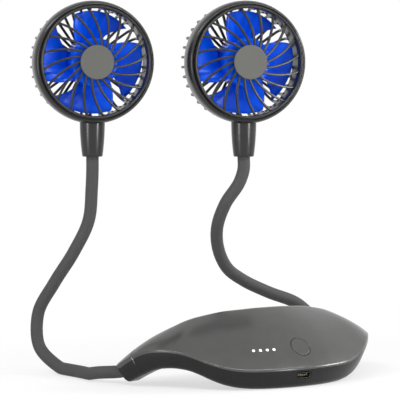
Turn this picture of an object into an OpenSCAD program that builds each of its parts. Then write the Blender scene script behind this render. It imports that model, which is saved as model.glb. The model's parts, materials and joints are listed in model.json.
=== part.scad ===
// Electric neck fan: a hollow band for the neck, two flexible arms and two caged fan heads.
// Origin: middle of the flat underside at the nape. +Z up, +Y from the nape to the throat,
// +X to the right arm. Millimetres and degrees.

/* [Neck band] */
// Radius of the crisp edge line round the neck
band_r = 88; // [84:1:96]
// Angle from the nape to each tip of the band
band_half_angle = 73.5; // [70:0.5:76]
// Height of the side face at the nape
side_h = 11.8; // [10.6:0.2:14]
// Rise of the underside from the nape to the arms
arch_h = 12.5; // [10:0.5:15]
// Width of the broad sloping face at the nape
face_w = 46.5; // [42:0.5:50]
// Slope of the broad face from level at the nape
face_slope = 40; // [36:1:44]
// Swell of the broad face above flat
face_bulge = 2.8; // [2:0.2:3.6]
// Width of the flat underside at the nape
foot_w = 25.2; // [24:0.2:28]
// How far the underside lies in from the edge line
foot_in = 2.8; // [2:0.1:3.6]
// Width of the rounded crown on the neck side
crown_w = 4.2; // [4:0.1:5]
// Drop from the top of the broad face to the neck wall
crown_drop = 4.7; // [4.4:0.1:5.4]
// Reach of the round corners of the underside
foot_round = 3.7; // [3.2:0.1:4]
// Height of the small bevel along the edge line
edge_bevel = 0.9; // [0.7:0.1:1.1]
// How far the seam between the covers lies below the edge line
seam_drop = 1.4; // [1.2:0.1:1.8]
// Lean of the two end pieces, as run per rise
end_lean = 0.9; // [0.6:0.1:1]
// Length of the plug by which an end piece fits into the covers
plug_len = 6.6; // [5:0.2:8]
// Length of an end piece from the covers to its tip
ferrule_len = 12; // [10.8:0.2:13]

/* [Covers] */
// Wall of the two covers
wall = 1.6; // [1.4:0.1:1.8]
// Radius of the posts for the cover screws
post_r = 2.8; // [2.6:0.1:3.2]
// Height of the lower posts above the underside
post_h = 8; // [6:0.5:9]
// Radius of a cover screw's shank
screw_r = 1; // [0.9:0.05:1.1]
// Length of a cover screw's shank
screw_len = 10; // [9:0.5:11]
// Radius of a cover screw's head
screw_head_r = 2; // [1.8:0.1:2.1]
// Height of a cover screw's head
screw_head_h = 1.4; // [1.2:0.1:1.8]

/* [Controls] */
// Radius of the power button
button_r = 6; // [5:0.2:6.6]
// Height of the button cap from its face to its underside
button_h = 2.9; // [2.8:0.1:3.1]
// Reach of the button's hidden flange past its cap
button_flange = 0.8; // [0.6:0.1:1]
// Height of the hidden flange
flange_h = 0.7; // [0.6:0.05:0.75]
// Angle of the button from the nape
button_angle = 2.5; // [0:0.5:4]
// Travel of the button
button_travel = 0.4; // [0.3:0.05:0.45]
// Side of the square switch body
switch_side = 6; // [5:0.5:7]
// Height of the switch body
switch_h = 2.7; // [2.5:0.1:3]
// Radius of the switch plunger
plunger_r = 1.5; // [1.2:0.1:1.8]
// Gap between the ends of the main board and the lamp board, measured on the face
lamp_gap = 1.5; // [1.2:0.1:2]
// Spacing of the four lamps
lamp_pitch = 4.1; // [3.6:0.1:4.4]
// Radius of a lamp lens
lamp_r = 0.85; // [0.6:0.05:1]
// Length of a lamp lens
lamp_len = 3.2; // [2.8:0.1:3.4]
// Side of a lamp chip
chip_side = 1.6; // [1.2:0.1:2]
// Height of a lamp chip
chip_h = 0.7; // [0.5:0.05:0.8]

/* [Charging port] */
// Height of the port's middle above the underside
port_z = 7.2; // [7:0.1:7.6]
// Width of the port shell
port_w = 9; // [8.6:0.1:9.4]
// Height of the port shell
port_h = 3.2; // [3:0.1:3.4]
// Depth of the port shell
port_depth = 7.3; // [6.5:0.1:7.6]
// Sheet of the port shell
port_sheet = 0.3; // [0.2:0.05:0.4]
// Margin round the shell of the cut in the cover
port_margin = 0.45; // [0.2:0.05:0.6]
// Width of the contact tongue
tongue_w = 6.6; // [6:0.1:7]
// Thickness of the contact tongue
tongue_t = 0.7; // [0.6:0.05:0.8]

/* [Boards and cells] */
// Thickness of the circuit boards
board_t = 1; // [0.8:0.1:1.2]
// Length of the main board
main_len = 26; // [25:0.5:28]
// Width of the main board
main_w = 13; // [11:0.5:14]
// Length of the lamp board
lamp_board_len = 18; // [17:0.5:20]
// Width of the lamp board
lamp_board_w = 6; // [5:0.5:8]
// Width of the charging board
charge_w = 19; // [18.5:0.5:21]
// Depth of the charging board
charge_depth = 7; // [6:0.2:7.2]
// Radius of a board screw's shank
board_screw_r = 0.8; // [0.7:0.05:0.9]
// Length of a board screw's shank
board_screw_len = 3.8; // [3.4:0.1:4]
// Radius of a board screw's head
board_head_r = 1.6; // [1.4:0.1:1.7]
// Height of a board screw's head
board_head_h = 1; // [0.8:0.1:1.2]
// Radius of the posts that carry the boards
board_post_r = 1.9; // [1.7:0.1:2.2]
// Radius of a battery cell
cell_r = 7; // [6.6:0.1:7.2]
// Length of a battery cell
cell_len = 30; // [28:0.5:31]
// Gap between the two cells
cell_gap = 4; // [3.6:0.1:5]

/* [Flexible arms] */
// Radius of the soft sleeve
tube_r = 3.7; // [3.4:0.1:3.9]
// Radius of the stiff core
core_r = 2.4; // [2:0.1:2.7]
// How far an arm's middle lies in from the edge line at the tip
socket_in = 5.4; // [5.2:0.1:5.6]
// Height of an arm's middle above the underside at the tip
socket_up = 5.8; // [5.6:0.1:6]
// Dip of an arm as it leaves the tip
tip_dip = 12; // [10:1:14]
// Depth to which an arm goes into the band's tip
tip_insert = 6; // [5:0.5:6.5]
// Radius of the lead hole behind an arm's end
lead_hole_r = 1.5; // [1.2:0.1:1.8]

/* [Fan heads] */
// Height of the heads' middle above the table
head_rise = 184.5; // [170:0.5:200]
// Distance between the two heads' middles
head_spacing = 89; // [86:1:96]
// Turn of the row of heads from the X axis
row_turn = 32; // [28:1:36]
// Turn of each head away from square to the nape
head_turn = 16; // [10:1:20]
// Place of the row's middle across the band
row_x = -38; // [-42:1:-34]
// Place of the row's middle in front of the nape
row_y = 71.6; // [68:0.2:76]
// Largest radius of a head
head_r = 36; // [35:0.5:38]
// How far a head's widest line lies in front of its neck
rim_mid = 4.2; // [3.6:0.2:4.8]
// How far the rim's front lip lies in front of the neck
rim_front = 9.6; // [9:0.1:10]
// How far the rim's back edge lies behind the neck
rim_back = 7; // [6.6:0.1:7.6]
// Thickness of the rim where the cage starts
rim_wall = 2.2; // [2:0.1:2.4]
// Drop of the rim's radius from its widest line to its edges
rim_taper = 1.6; // [1.2:0.1:1.8]
// How far the cage's back lies behind the neck
cage_back = 18.7; // [18.4:0.1:20]
// Radial depth of a cage fin
fin_depth = 2.4; // [2:0.1:2.6]
// Thickness of a cage fin
fin_t = 1.5; // [1.2:0.1:1.6]
// Number of cage fins
fin_count = 36; // [32:2:38]
// Radius of the disc at the middle of the cage's back
back_disc_r = 11.6; // [11.4:0.1:12]

/* [Front grille] */
// How far the bezel's front edge lies in front of the neck
bezel_front = 12; // [11.6:0.1:12.6]
// Width of the bezel's seat behind the rim's lip
bezel_seat = 3.4; // [3.2:0.1:3.6]
// Wall of the bezel
bezel_wall = 2.2; // [2:0.1:2.4]
// Width of the groove between the bezel and the rim
groove_w = 0.6; // [0.4:0.05:0.8]
// Number of spiral ribs
rib_count = 20; // [16:1:22]
// Width of a rib
rib_w = 1.1; // [0.9:0.1:1.3]
// Depth of a rib
rib_depth = 1.6; // [1.3:0.1:1.8]
// Radius of the arc along which a rib runs
rib_arc_r = 40; // [38:0.5:44]
// Place of the arc's middle off to the side of the head's axis
rib_arc_side = 5.5; // [4:0.5:7]
// How far the ribs' outer ends lie in front of the neck
rib_wall_f = 10; // [9.8:0.1:10.4]
// How far the ribs' inner ends lie in front of the neck
rib_hub_f = 12.8; // [12.4:0.1:13]
// Radius of the plain disc at the grille's middle
cap_r = 10; // [9:0.2:11]
// Thickness of the plain disc
cap_t = 1.2; // [1:0.1:1.4]
// Radius of the peg behind the plain disc
peg_r = 3; // [2.6:0.1:3.4]
// Length of the peg behind the plain disc
peg_len = 1.6; // [1.2:0.1:1.8]

/* [Fan and motor] */
// Gap between the blade tips and the rim
blade_gap = 2; // [1.6:0.1:3]
// Radius of the fan's hub
fan_hub_r = 14.6; // [13:0.2:15.4]
// Wall of the fan's hub
hub_wall = 1.4; // [1.2:0.1:1.6]
// How far the hub's front lies in front of the neck
hub_front = 8.5; // [8:0.1:8.8]
// How far the hub's back lies behind the neck
hub_back = 9.4; // [9:0.2:10]
// Number of blades
blade_count = 4; // [3:1:5]
// Angle that one blade covers
blade_sweep = 70; // [60:1:71]
// Turn of a blade's tip behind its root
blade_skew = 23; // [18:1:26]
// How far the blades' front edges lie behind the hub's front
blade_set = 6.5; // [6:0.5:8]
// Thickness of a blade
blade_t = 1.3; // [1.1:0.1:1.6]
// Radius of the motor
motor_r = 9.3; // [8.6:0.1:9.5]
// Length of the motor's can
motor_len = 9.6; // [8.8:0.1:9.8]
// Thickness of the motor's end cap
motor_cap_t = 1.2; // [1:0.1:1.4]
// Radius of the motor's shaft
shaft_r = 1; // [0.8:0.05:1.2]
// Wall of the motor's cup
cup_wall = 1.2; // [1:0.1:1.4]
// Length of the motor's cup
cup_len = 9; // [8:0.2:9.4]
// Radius of the motor's lead
lead_r = 0.7; // [0.6:0.05:0.8]

/* [Neck sockets] */
// Radius of a socket at its top
socket_top_r = 7.4; // [7.2:0.1:7.6]
// Radius of a socket at its bottom edge
socket_end_r = 6.05; // [5.8:0.05:6.4]
// Length of a socket below the head's rim
socket_len = 19.4; // [18.4:0.2:21]
// Depth to which an arm goes into a socket
neck_insert = 12.5; // [11:0.5:13.5]

/* [Fits] */
// Gap round a plugged or pressed piece
fit_gap = 0.05; // [0.04:0.01:0.08]
// Gap round the motor's running shaft
run_gap = 0.03; // [0.02:0.01:0.05]
// Gap round the button and the lenses
button_gap = 0.25; // [0.2:0.05:0.35]
// Gap between two pieces that only lie near each other
near_gap = 0.3; // [0.2:0.05:0.35]

/* [Hidden] */

$fn = 64;
small_fn = 24;
left = -1;
right = 1;

// Overrun of every cut past the face that it opens
over = 1;

cover_color = "#5f5f5f";
side_color = "#3c3c3c";
sleeve_color = "#4a4a4a";
metal_color = "#b4b6b8";
blue_color = "#1f6fd0";
board_color = "#1d5b3a";
black_color = "#1c1c1c";

// The band along its length. Each row is the share of the way from nape to tip, then the
// share of the nape's size that is left there.
rise_shares = [[0, 0], [.2, 0], [.35, .05], [.5, .38], [.65, .92], [.79, .94], [.91, .55], [1, .17]];
side_shares = [[0, 1], [.1, 1], [.35, .97], [.5, .97], [.65, .92], [.8, .89], [.91, .84], [1, .7]];
face_shares = [[0, 1], [.1, 1], [.35, .95], [.5, .77], [.65, .52], [.8, .32], [.91, .21], [1, .12]];
slope_shares = [[0, 1], [.35, 1], [.5, .95], [.65, .78], [.8, .6], [.91, .5], [1, .45]];
foot_shares = [[0, 1], [.35, 1], [.5, .85], [.65, .7], [.8, .52], [1, .4]];
crown_shares = [[0, 1], [.5, 1.08], [.65, 1.15], [.8, 1.3], [.91, 1.7], [1, 1.9]];
drop_shares = [[0, 1], [.65, .97], [.8, .9], [1, .7]];

// Places up the broad face and the neck wall, as shares of their widths
button_up_share = .285;
lamp_up_share = .27;
neck_seam_share = .45;
corner_room_share = .9;

// The arms between tip and neck socket. Each row is the share of the climb from the tip to
// the socket's mouth, then how far the arm lies off the straight line between them across
// the band and in front of it, as shares of that climb.
left_arm_shares = [[-.02, -.06, .14], [-.045, -.08, .32], [-.02, -.11, .495], [.06, -.145, .575],
    [.215, -.145, .54], [.375, -.105, .395], [.535, -.045, .25], [.69, 0, .135], [.845, .005, .065]];
right_arm_shares = [[-.045, .03, .1], [0, .035, .165], [.075, .035, .21], [.165, .015, .22],
    [.235, -.04, .195], [.305, -.175, .195], [.375, -.285, .19], [.445, -.35, .165],
    [.525, -.355, .145], [.65, -.315, .1], [.77, -.225, .045], [.885, -.09, .005]];

// Straight stretches of an arm where it leaves the tip and enters the socket
tip_straight = tube_r;
neck_straight = 2 * tube_r;

// Rings along an arm, sides of a ring, and the rings at which its five sections meet
ring_steps = 40;
tube_sides = 12;
section_steps = ring_steps / 5;
path_steps = 6;

// Stations along the covers, and steps on the curves of one cross-section
band_steps = 36;
face_steps = 6;
bend_steps = 4;
corner_steps = 3;

// Basic maths
function unit(v) = v / norm(v);
function mix(a, b, u) = a * (1 - u) + b * u;
function reversed(v) = [for (i = [len(v) - 1:-1:0]) v[i]];
function bend(a, b, c, steps) =
    [for (i = [0:steps]) let (u = i / steps) mix(mix(a, b, u), mix(b, c, u), u)];

// Smooth reading of a table of shares, with no overshoot between its rows
function secant(table, i) =
    (table[i + 1][1] - table[i][1]) / (table[i + 1][0] - table[i][0]);
function slope_at(table, i) =
    i == 0 ? 0
    : i == len(table) - 1 ? secant(table, i - 1)
    : let (a = secant(table, i - 1), b = secant(table, i))
      a * b <= 0 ? 0 : 2 * a * b / (a + b);
function row_at(table, t, i = 0) =
    i >= len(table) - 2 || t < table[i + 1][0] ? i : row_at(table, t, i + 1);
function hermite(a, b, pull_a, pull_b, u) =
    a * (2 * u ^ 3 - 3 * u ^ 2 + 1) + b * (3 * u ^ 2 - 2 * u ^ 3)
    + pull_a * (u ^ 3 - 2 * u ^ 2 + u) + pull_b * (u ^ 3 - u ^ 2);
function share_at(table, t) =
    let (i = row_at(table, t),
         run = table[i + 1][0] - table[i][0],
         u = (t - table[i][0]) / run)
    hermite(table[i][1], table[i + 1][1],
        slope_at(table, i) * run, slope_at(table, i + 1) * run, u);

// The band's cross-section at share t of the way to a tip, as [radius, height] points
function base_z(t) = arch_h * share_at(rise_shares, t);
function edge_z(t) = base_z(t) + side_h * share_at(side_shares, t);
function foot_outer(t) = [band_r - foot_in * share_at(foot_shares, t), base_z(t)];
function foot_inner(t) = [band_r - foot_in - foot_w * share_at(foot_shares, t), base_z(t)];
function seam_point(t) = [band_r, edge_z(t) - seam_drop];
function bevel_low(t) = [band_r, edge_z(t) - edge_bevel / 2];
function face_lean(t) = face_slope * share_at(slope_shares, t);
function bevel_high(t) = [band_r - edge_bevel * sin(face_lean(t)), edge_z(t) + edge_bevel / 2];
function face_size(t) = face_w * share_at(face_shares, t);
function face_top(t) = bevel_high(t) + face_size(t) * [-cos(face_lean(t)), sin(face_lean(t))];
function face_pull(t) =
    mix(bevel_high(t), face_top(t), 1 / 2)
    + 2 * face_bulge * share_at(face_shares, t) * [sin(face_lean(t)), cos(face_lean(t))];
function crown_pull(t) =
    let (way = unit(face_top(t) - face_pull(t)))
    face_top(t) + way / abs(way[0]) * crown_w * share_at(crown_shares, t);
function crown_end(t) =
    face_top(t) - [crown_w * share_at(crown_shares, t), crown_drop * share_at(drop_shares, t)];
function neck_seam(t) = mix(foot_inner(t), crown_end(t), neck_seam_share);
function toward(a, b, run) = a + run * unit(b - a);
function corner_run(t) =
    min(foot_round, corner_room_share * neck_seam_share * norm(crown_end(t) - foot_inner(t)));
function upper_outline(t) = concat(
    [seam_point(t), bevel_low(t)],
    bend(bevel_high(t), face_pull(t), face_top(t), face_steps),
    [for (i = [1:bend_steps]) bend(face_top(t), crown_pull(t), crown_end(t), bend_steps)[i]],
    [neck_seam(t)]);
function lower_outline(t) = concat(
    [neck_seam(t)],
    bend(toward(foot_inner(t), crown_end(t), corner_run(t)), foot_inner(t),
        toward(foot_inner(t), foot_outer(t), corner_run(t)), corner_steps),
    bend(toward(foot_outer(t), foot_inner(t), corner_run(t)), foot_outer(t),
        toward(foot_outer(t), seam_point(t), corner_run(t)), corner_steps),
    [seam_point(t)]);
function outline(t) =
    concat(upper_outline(t), [for (i = [1:len(lower_outline(t)) - 2]) lower_outline(t)[i]]);

// An outline moved inward by a wall, with mitred corners
function inset(points, depth) =
    [for (i = [0:len(points) - 1])
        let (n = len(points),
             a = unit(points[i] - points[(i + n - 1) % n]),
             b = unit(points[(i + 1) % n] - points[i]),
             way = unit(a + b))
        points[i] - depth / (way * a) * [way[1], -way[0]]];

// The same, with the seam faces kept level so that the two covers meet flat
function inner_outline(t) =
    let (deep = inset(outline(t), wall), seam = len(upper_outline(t)) - 1)
    [for (i = [0:len(deep) - 1])
        i == 0 ? outline(t)[0] - [wall, 0]
        : i == seam ? outline(t)[i] + [wall, 0]
        : deep[i]];
function upper_inner(t) = [for (i = [0:len(upper_outline(t)) - 1]) inner_outline(t)[i]];
function lower_inner(t) = concat(
    [for (i = [len(upper_outline(t)) - 1:len(outline(t)) - 1]) inner_outline(t)[i]],
    [inner_outline(t)[0]]);

// Cross-section points placed in the band: q runs from -1 at the left tip to 1 at the right
band_centre_y = band_r - foot_in - foot_w / 2;
function lean_angle(q, point) =
    let (t = abs(q), middle = (base_z(t) + edge_z(t)) / 2)
    sign(q) * end_lean * t ^ 2 * (point[1] - middle) / point[0] * 180 / PI;
function in_band(q, point) =
    let (angle = q * band_half_angle + lean_angle(q, point))
    [point[0] * sin(angle), band_centre_y - point[0] * cos(angle), point[1]];
tip_share = ferrule_len / (band_r * band_half_angle * PI / 180);
plug_share = plug_len / (band_r * band_half_angle * PI / 180);
cover_share = 1 - tip_share;
cover_stations = [for (j = [0:band_steps]) cover_share * (1 - 2 * j / band_steps)];

// Faces between rings of equal length, and the flat ends of a strip
function skin(rows, n) =
    [for (j = [0:rows - 2], i = [0:n - 1])
        let (k = (i + 1) % n, a = j * n, b = (j + 1) * n)
        each [[a + i, b + i, a + k], [a + k, b + i, b + k]]];
function strip_end(start, n, flip) =
    [for (i = [0:n / 2 - 2])
        let (a = start + i, b = start + i + 1, c = start + n - 2 - i, d = start + n - 1 - i)
        each flip ? [[a, c, b], [a, d, c]] : [[a, b, c], [a, c, d]]];
module strip(rings) {
    n = len(rings[0]);
    last = (len(rings) - 1) * n;
    polyhedron(points = [for (ring = rings) each ring],
        faces = concat(skin(len(rings), n), strip_end(0, n, false), strip_end(last, n, true)));
}

// A closed body between rings, with a point at the middle of each end
function middle(points) = [for (i = [0:len(points) - 1]) 1] * points / len(points);
module lump(rings) {
    n = len(rings[0]);
    count = len(rings);
    first_mid = count * n;
    last = (count - 1) * n;
    points = concat([for (ring = rings) each ring], [middle(rings[0]), middle(rings[count - 1])]);
    ends = [for (i = [0:n - 1]) let (k = (i + 1) % n)
        each [[first_mid, i, k], [first_mid + 1, last + k, last + i]]];
    polyhedron(points = points, faces = concat(skin(count, n), ends));
}

// Frames on the band. On the broad face local X runs along the band, Y up the face and Z
// out of it. On a radius, local Y points to the neck and Z up.
function face_spot(angle, share) =
    let (t = abs(angle) / band_half_angle)
    mix(mix(bevel_high(t), face_pull(t), share), mix(face_pull(t), face_top(t), share), share);
function face_tilt(angle, share) =
    let (t = abs(angle) / band_half_angle,
         way = mix(face_pull(t), face_top(t), share) - mix(bevel_high(t), face_pull(t), share))
    atan2(way[1], -way[0]);
module on_radius(angle) translate([0, band_centre_y, 0]) rotate([0, 0, angle]) children();
module on_face(angle, share) {
    spot = face_spot(angle, share);
    on_radius(angle)
        translate([0, -spot[0], spot[1]])
            rotate([face_tilt(angle, share), 0, 0]) children();
}
lamp_angle = button_angle
    - (main_len / 2 + lamp_gap + lamp_board_len / 2)
        / face_spot(button_angle, lamp_up_share)[0] * 180 / PI;
module at_button() on_face(button_angle, button_up_share) children();
module at_lamps() on_face(lamp_angle, lamp_up_share) children();

// A short solid piece of the band, moved in by depth, for trimming what meets a wall
module band_piece(angle, depth, reach) {
    q = angle / band_half_angle;
    lump([for (u = [1:-.5:-1])
        let (here = q + u * reach / band_r / band_half_angle * 180 / PI)
        [for (p = inset(outline(abs(here)), depth)) in_band(here, p)]]);
}

// Screw places along the band: an angle from the nape on each side
post_angles = [-band_half_angle * .75, -band_half_angle * .51,
    band_half_angle * .51, band_half_angle * .75];
function post_t(angle) = abs(angle) / band_half_angle;
function post_radius(angle) =
    mix(foot_outer(post_t(angle)), foot_inner(post_t(angle)), 1 / 2)[0];
module at_post(angle)
    on_radius(angle) translate([0, -post_radius(angle), base_z(post_t(angle))]) children();
counterbore_h = screw_head_h + near_gap;

// Depths below the broad face in the button's frame
switch_top = button_h + button_travel + near_gap / 2;
board_depth = switch_top + switch_h;
lamp_board_depth = lamp_len + chip_h + near_gap;
board_post_x = main_len / 2 - board_post_r - near_gap;
post_sink = wall * .75;

module upper_cover() color(cover_color) difference() {
    union() {
        strip([for (q = cover_stations)
            let (t = abs(q))
            [for (p = concat(upper_outline(t), reversed(upper_inner(t)))) in_band(q, p)]]);
        for (angle = post_angles)
            intersection() {
                at_post(angle)
                    translate([0, 0, post_h + near_gap / 2]) cylinder(r = post_r, h = face_w);
                band_piece(angle, wall / 2, 2 * post_r);
            }
        for (x = [-board_post_x, board_post_x])
            at_button() translate([x, 0, -board_depth])
                cylinder(r = board_post_r, h = board_depth - post_sink, $fn = small_fn);
    }
    at_button() translate([0, 0, -button_h])
        cylinder(r = button_r + button_gap, h = button_h + over);
    for (i = [-3:2:3])
        on_face(lamp_angle + lamp_step * i / 2, lamp_up_share)
            translate([0, 0, -lamp_len])
                cylinder(r = lamp_r + fit_gap, h = lamp_len + over, $fn = small_fn);
    for (angle = post_angles)
        at_post(angle) translate([0, 0, post_h])
            cylinder(r = screw_r + fit_gap, h = counterbore_h + screw_len + near_gap - post_h,
                $fn = small_fn);
    for (x = [-board_post_x, board_post_x])
        at_button() translate([x, 0, -board_depth - over])
            cylinder(r = board_screw_r + fit_gap, h = board_screw_len - board_t + near_gap + over,
                $fn = small_fn);
}

lamp_step = lamp_pitch / face_spot(lamp_angle, lamp_up_share)[0] * 180 / PI;

charge_post_x = charge_w / 2 - board_post_r - near_gap;
charge_top = port_z - port_h / 2;
function side_r(z) = band_r - foot_in * (1 - z / (side_h - seam_drop));
side_face_r = side_r(port_z);
charge_room_r = side_r(charge_top - board_t) - wall - near_gap;
charge_mid_r = sqrt(charge_room_r ^ 2 - (charge_w / 2) ^ 2) - charge_depth / 2;

module lower_cover() color(side_color) difference() {
    union() {
        strip([for (q = cover_stations)
            let (t = abs(q))
            [for (p = concat(lower_outline(t), reversed(lower_inner(t)))) in_band(q, p)]]);
        for (angle = post_angles)
            at_post(angle) translate([0, 0, wall / 2]) cylinder(r = post_r, h = post_h - wall / 2);
        for (x = [-charge_post_x, charge_post_x])
            on_radius(0) translate([x, -charge_mid_r, wall / 2])
                cylinder(r = board_post_r, h = charge_top - board_t - wall / 2, $fn = small_fn);
    }
    on_radius(0) translate([0, -side_face_r - over, port_z])
        rotate([-90, 0, 0])
            linear_extrude(2 * over + wall + near_gap)
                stadium(port_w + 2 * port_margin, port_h + 2 * port_margin);
    for (angle = post_angles)
        at_post(angle) {
            translate([0, 0, -over])
                cylinder(r = screw_r + button_gap, h = post_h + 2 * over, $fn = small_fn);
            translate([0, 0, -over])
                cylinder(r = screw_head_r + button_gap, h = counterbore_h + over, $fn = small_fn);
        }
    for (x = [-charge_post_x, charge_post_x])
        on_radius(0) translate([x, -charge_mid_r, charge_top - board_screw_len - fit_gap])
            cylinder(r = board_screw_r + fit_gap, h = board_screw_len + over, $fn = small_fn);
}

// A flat outline with two straight sides and two round ends
module stadium(width, height) {
    square([width - height, height], center = true);
    for (side = [left, right])
        translate([side * (width - height) / 2, 0]) circle(d = height);
}

// The arm's way out of each tip
function tip_radius() = band_r - socket_in;
function tip_height() = base_z(1) + socket_up;
function tip_point(side) = in_band(side, [tip_radius(), tip_height()]);
function tip_way(side) = [side * cos(band_half_angle) * cos(tip_dip),
    sin(band_half_angle) * cos(tip_dip), -sin(tip_dip)];
module along(point, way)
    translate(point) rotate([0, acos(way[2] / norm(way)), atan2(way[1], way[0])]) children();

module ferrule(side) color(side_color) {
    plug_rows = [for (u = [0, 1 / 2, 1])
        [cover_share - plug_share * (1 - u), wall + 2 * fit_gap]];
    end_rows = [for (u = [0, 1 / 3, 2 / 3, 1]) [cover_share + tip_share * u, 0]];
    rows = concat(plug_rows, end_rows);
    difference() {
        lump([for (j = [0:len(rows) - 1])
            let (row = side < 0 ? rows[j] : rows[len(rows) - 1 - j])
            [for (p = row[1] > 0 ? inset(outline(row[0]), row[1]) : outline(row[0]))
                in_band(side * row[0], p)]]);
        along(tip_point(side), tip_way(side)) {
            translate([0, 0, -tip_insert])
                cylinder(r = tube_r + fit_gap, h = tip_insert + 3 * tube_r);
            translate([0, 0, -ferrule_len - 2 * plug_len])
                cylinder(r = lead_hole_r, h = ferrule_len + 2 * plug_len, $fn = small_fn);
        }
    }
}

module cover_screws() color(metal_color)
    for (angle = post_angles)
        at_post(angle) {
            translate([0, 0, near_gap])
                screw(screw_head_r, screw_head_h, screw_r, screw_len);
        }

// A screw standing on its head: the head's outer face at zero, the shank upward
module screw(head_r, head_h, shank_r, shank_len) difference() {
    union() {
        cylinder(r = head_r, h = head_h, $fn = small_fn);
        translate([0, 0, head_h]) cylinder(r = shank_r, h = shank_len, $fn = small_fn);
    }
    for (turn = [0, 90])
        rotate([0, 0, turn])
            cube([head_r * 1.2, head_r * .25, head_h], center = true);
}

module power_button() color(cover_color) at_button()
    translate([0, 0, -button_h]) {
        cylinder(r = button_r, h = button_h);
        cylinder(r = button_r + button_flange, h = flange_h);
    }

plunger_len = switch_top - button_h + switch_h / 2 - button_travel;
module switch_plunger() color(black_color) at_button()
    translate([0, 0, -button_h - plunger_len])
        cylinder(r = plunger_r, h = plunger_len, $fn = small_fn);

module button_switch() color(metal_color) at_button() difference() {
    translate([-switch_side / 2, -switch_side / 2, -board_depth])
        cube([switch_side, switch_side, switch_h]);
    translate([0, 0, -board_depth + switch_h / 2 - near_gap / 2])
        cylinder(r = plunger_r + button_gap / 2, h = switch_h, $fn = small_fn);
}

module lamp_lenses() color("white")
    for (i = [-3:2:3])
        on_face(lamp_angle + lamp_step * i / 2, lamp_up_share)
            translate([0, 0, -lamp_len]) cylinder(r = lamp_r, h = lamp_len, $fn = small_fn);

module lamp_chips() color("#f4f0d8") at_lamps()
    for (i = [-3:2:3])
        translate([lamp_pitch * i / 2 - chip_side / 2, -chip_side / 2, -lamp_board_depth])
            cube([chip_side, chip_side, chip_h]);

module lamp_board() color(board_color) at_lamps()
    translate([-lamp_board_len / 2, -lamp_board_w / 2, -lamp_board_depth - board_t])
        cube([lamp_board_len, lamp_board_w, board_t]);

module main_board() color(board_color) at_button() difference() {
    translate([-main_len / 2, -main_w / 2, -board_depth - board_t])
        cube([main_len, main_w, board_t]);
    for (x = [-board_post_x, board_post_x])
        translate([x, 0, -board_depth - board_t - over])
            cylinder(r = board_screw_r + fit_gap, h = board_t + 2 * over, $fn = small_fn);
}

module at_port() on_radius(0) translate([0, -side_face_r, port_z]) rotate([-90, 0, 0]) children();

module usb_shell() color(metal_color) at_port() difference() {
    linear_extrude(port_depth) stadium(port_w, port_h);
    translate([0, 0, -over])
        linear_extrude(port_depth - port_sheet + over)
            stadium(port_w - 2 * port_sheet, port_h - 2 * port_sheet);
}

module usb_tongue() color(black_color) at_port()
    translate([-tongue_w / 2, -tongue_t / 2, port_sheet * 2])
        cube([tongue_w, tongue_t, port_depth - 3 * port_sheet]);

module charge_board() color(board_color) on_radius(0) difference() {
    translate([-charge_w / 2, -charge_mid_r - charge_depth / 2, charge_top - board_t])
        cube([charge_w, charge_depth, board_t]);
    for (x = [-charge_post_x, charge_post_x])
        translate([x, -charge_mid_r, charge_top - board_t - over])
            cylinder(r = board_screw_r + fit_gap, h = board_t + 2 * over, $fn = small_fn);
}

module board_screws() color(metal_color) {
    for (x = [-board_post_x, board_post_x])
        at_button() translate([x, 0, -board_depth - board_t - board_head_h])
            screw(board_head_r, board_head_h, board_screw_r, board_screw_len);
    for (x = [-charge_post_x, charge_post_x])
        on_radius(0) translate([x, -charge_mid_r, charge_top + board_head_h])
            rotate([180, 0, 0])
                screw(board_head_r, board_head_h, board_screw_r, board_screw_len);
}

// The cells lie side by side along the neck wall, above the floor's height at their outer ends
cell_mid_r = band_r - foot_in - foot_w + cell_r - wall / 2;
cell_angle = atan((cell_gap + cell_len) / 2 / cell_mid_r);
cell_end_t = (cell_angle + atan(cell_len / 2 / cell_mid_r)) / band_half_angle;
cell_z = base_z(cell_end_t) + wall + near_gap + cell_r;
module battery_cells() color("#3f7fb0")
    for (side = [left, right])
        on_radius(side * cell_angle)
            translate([0, -cell_mid_r, cell_z])
                rotate([0, 90, 0]) {
                    cylinder(r = cell_r, h = cell_len, center = true);
                    translate([0, 0, side * cell_len / 2])
                        cylinder(r = cell_r / 3, h = near_gap * 4, center = true);
                }

// Places of the heads, of a socket's mouth below each, and of the arm's upper end
function head_place(side) =
    [row_x + side * head_spacing / 2 * cos(row_turn),
     row_y - side * head_spacing / 2 * sin(row_turn), head_rise];
socket_mouth = head_r + socket_len;
function mouth_point(side) = head_place(side) - [0, 0, socket_mouth];
function arm_end(side) = mouth_point(side) + [0, 0, neck_insert];

// An arm's control points: straight out of the tip, along its shares, straight into the socket
function arm_row(side, row) =
    let (from = tip_point(side), to = mouth_point(side), climb = to[2] - from[2])
    mix(from, to, row[0]) + climb * [row[1], row[2], 0];
function arm_points(side) = concat(
    [for (run = [-tip_insert, 0, tip_straight]) tip_point(side) + run * tip_way(side)],
    [for (row = side > 0 ? right_arm_shares : left_arm_shares) arm_row(side, row)],
    [mouth_point(side) - [0, 0, neck_straight], mouth_point(side), arm_end(side)]);

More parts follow.
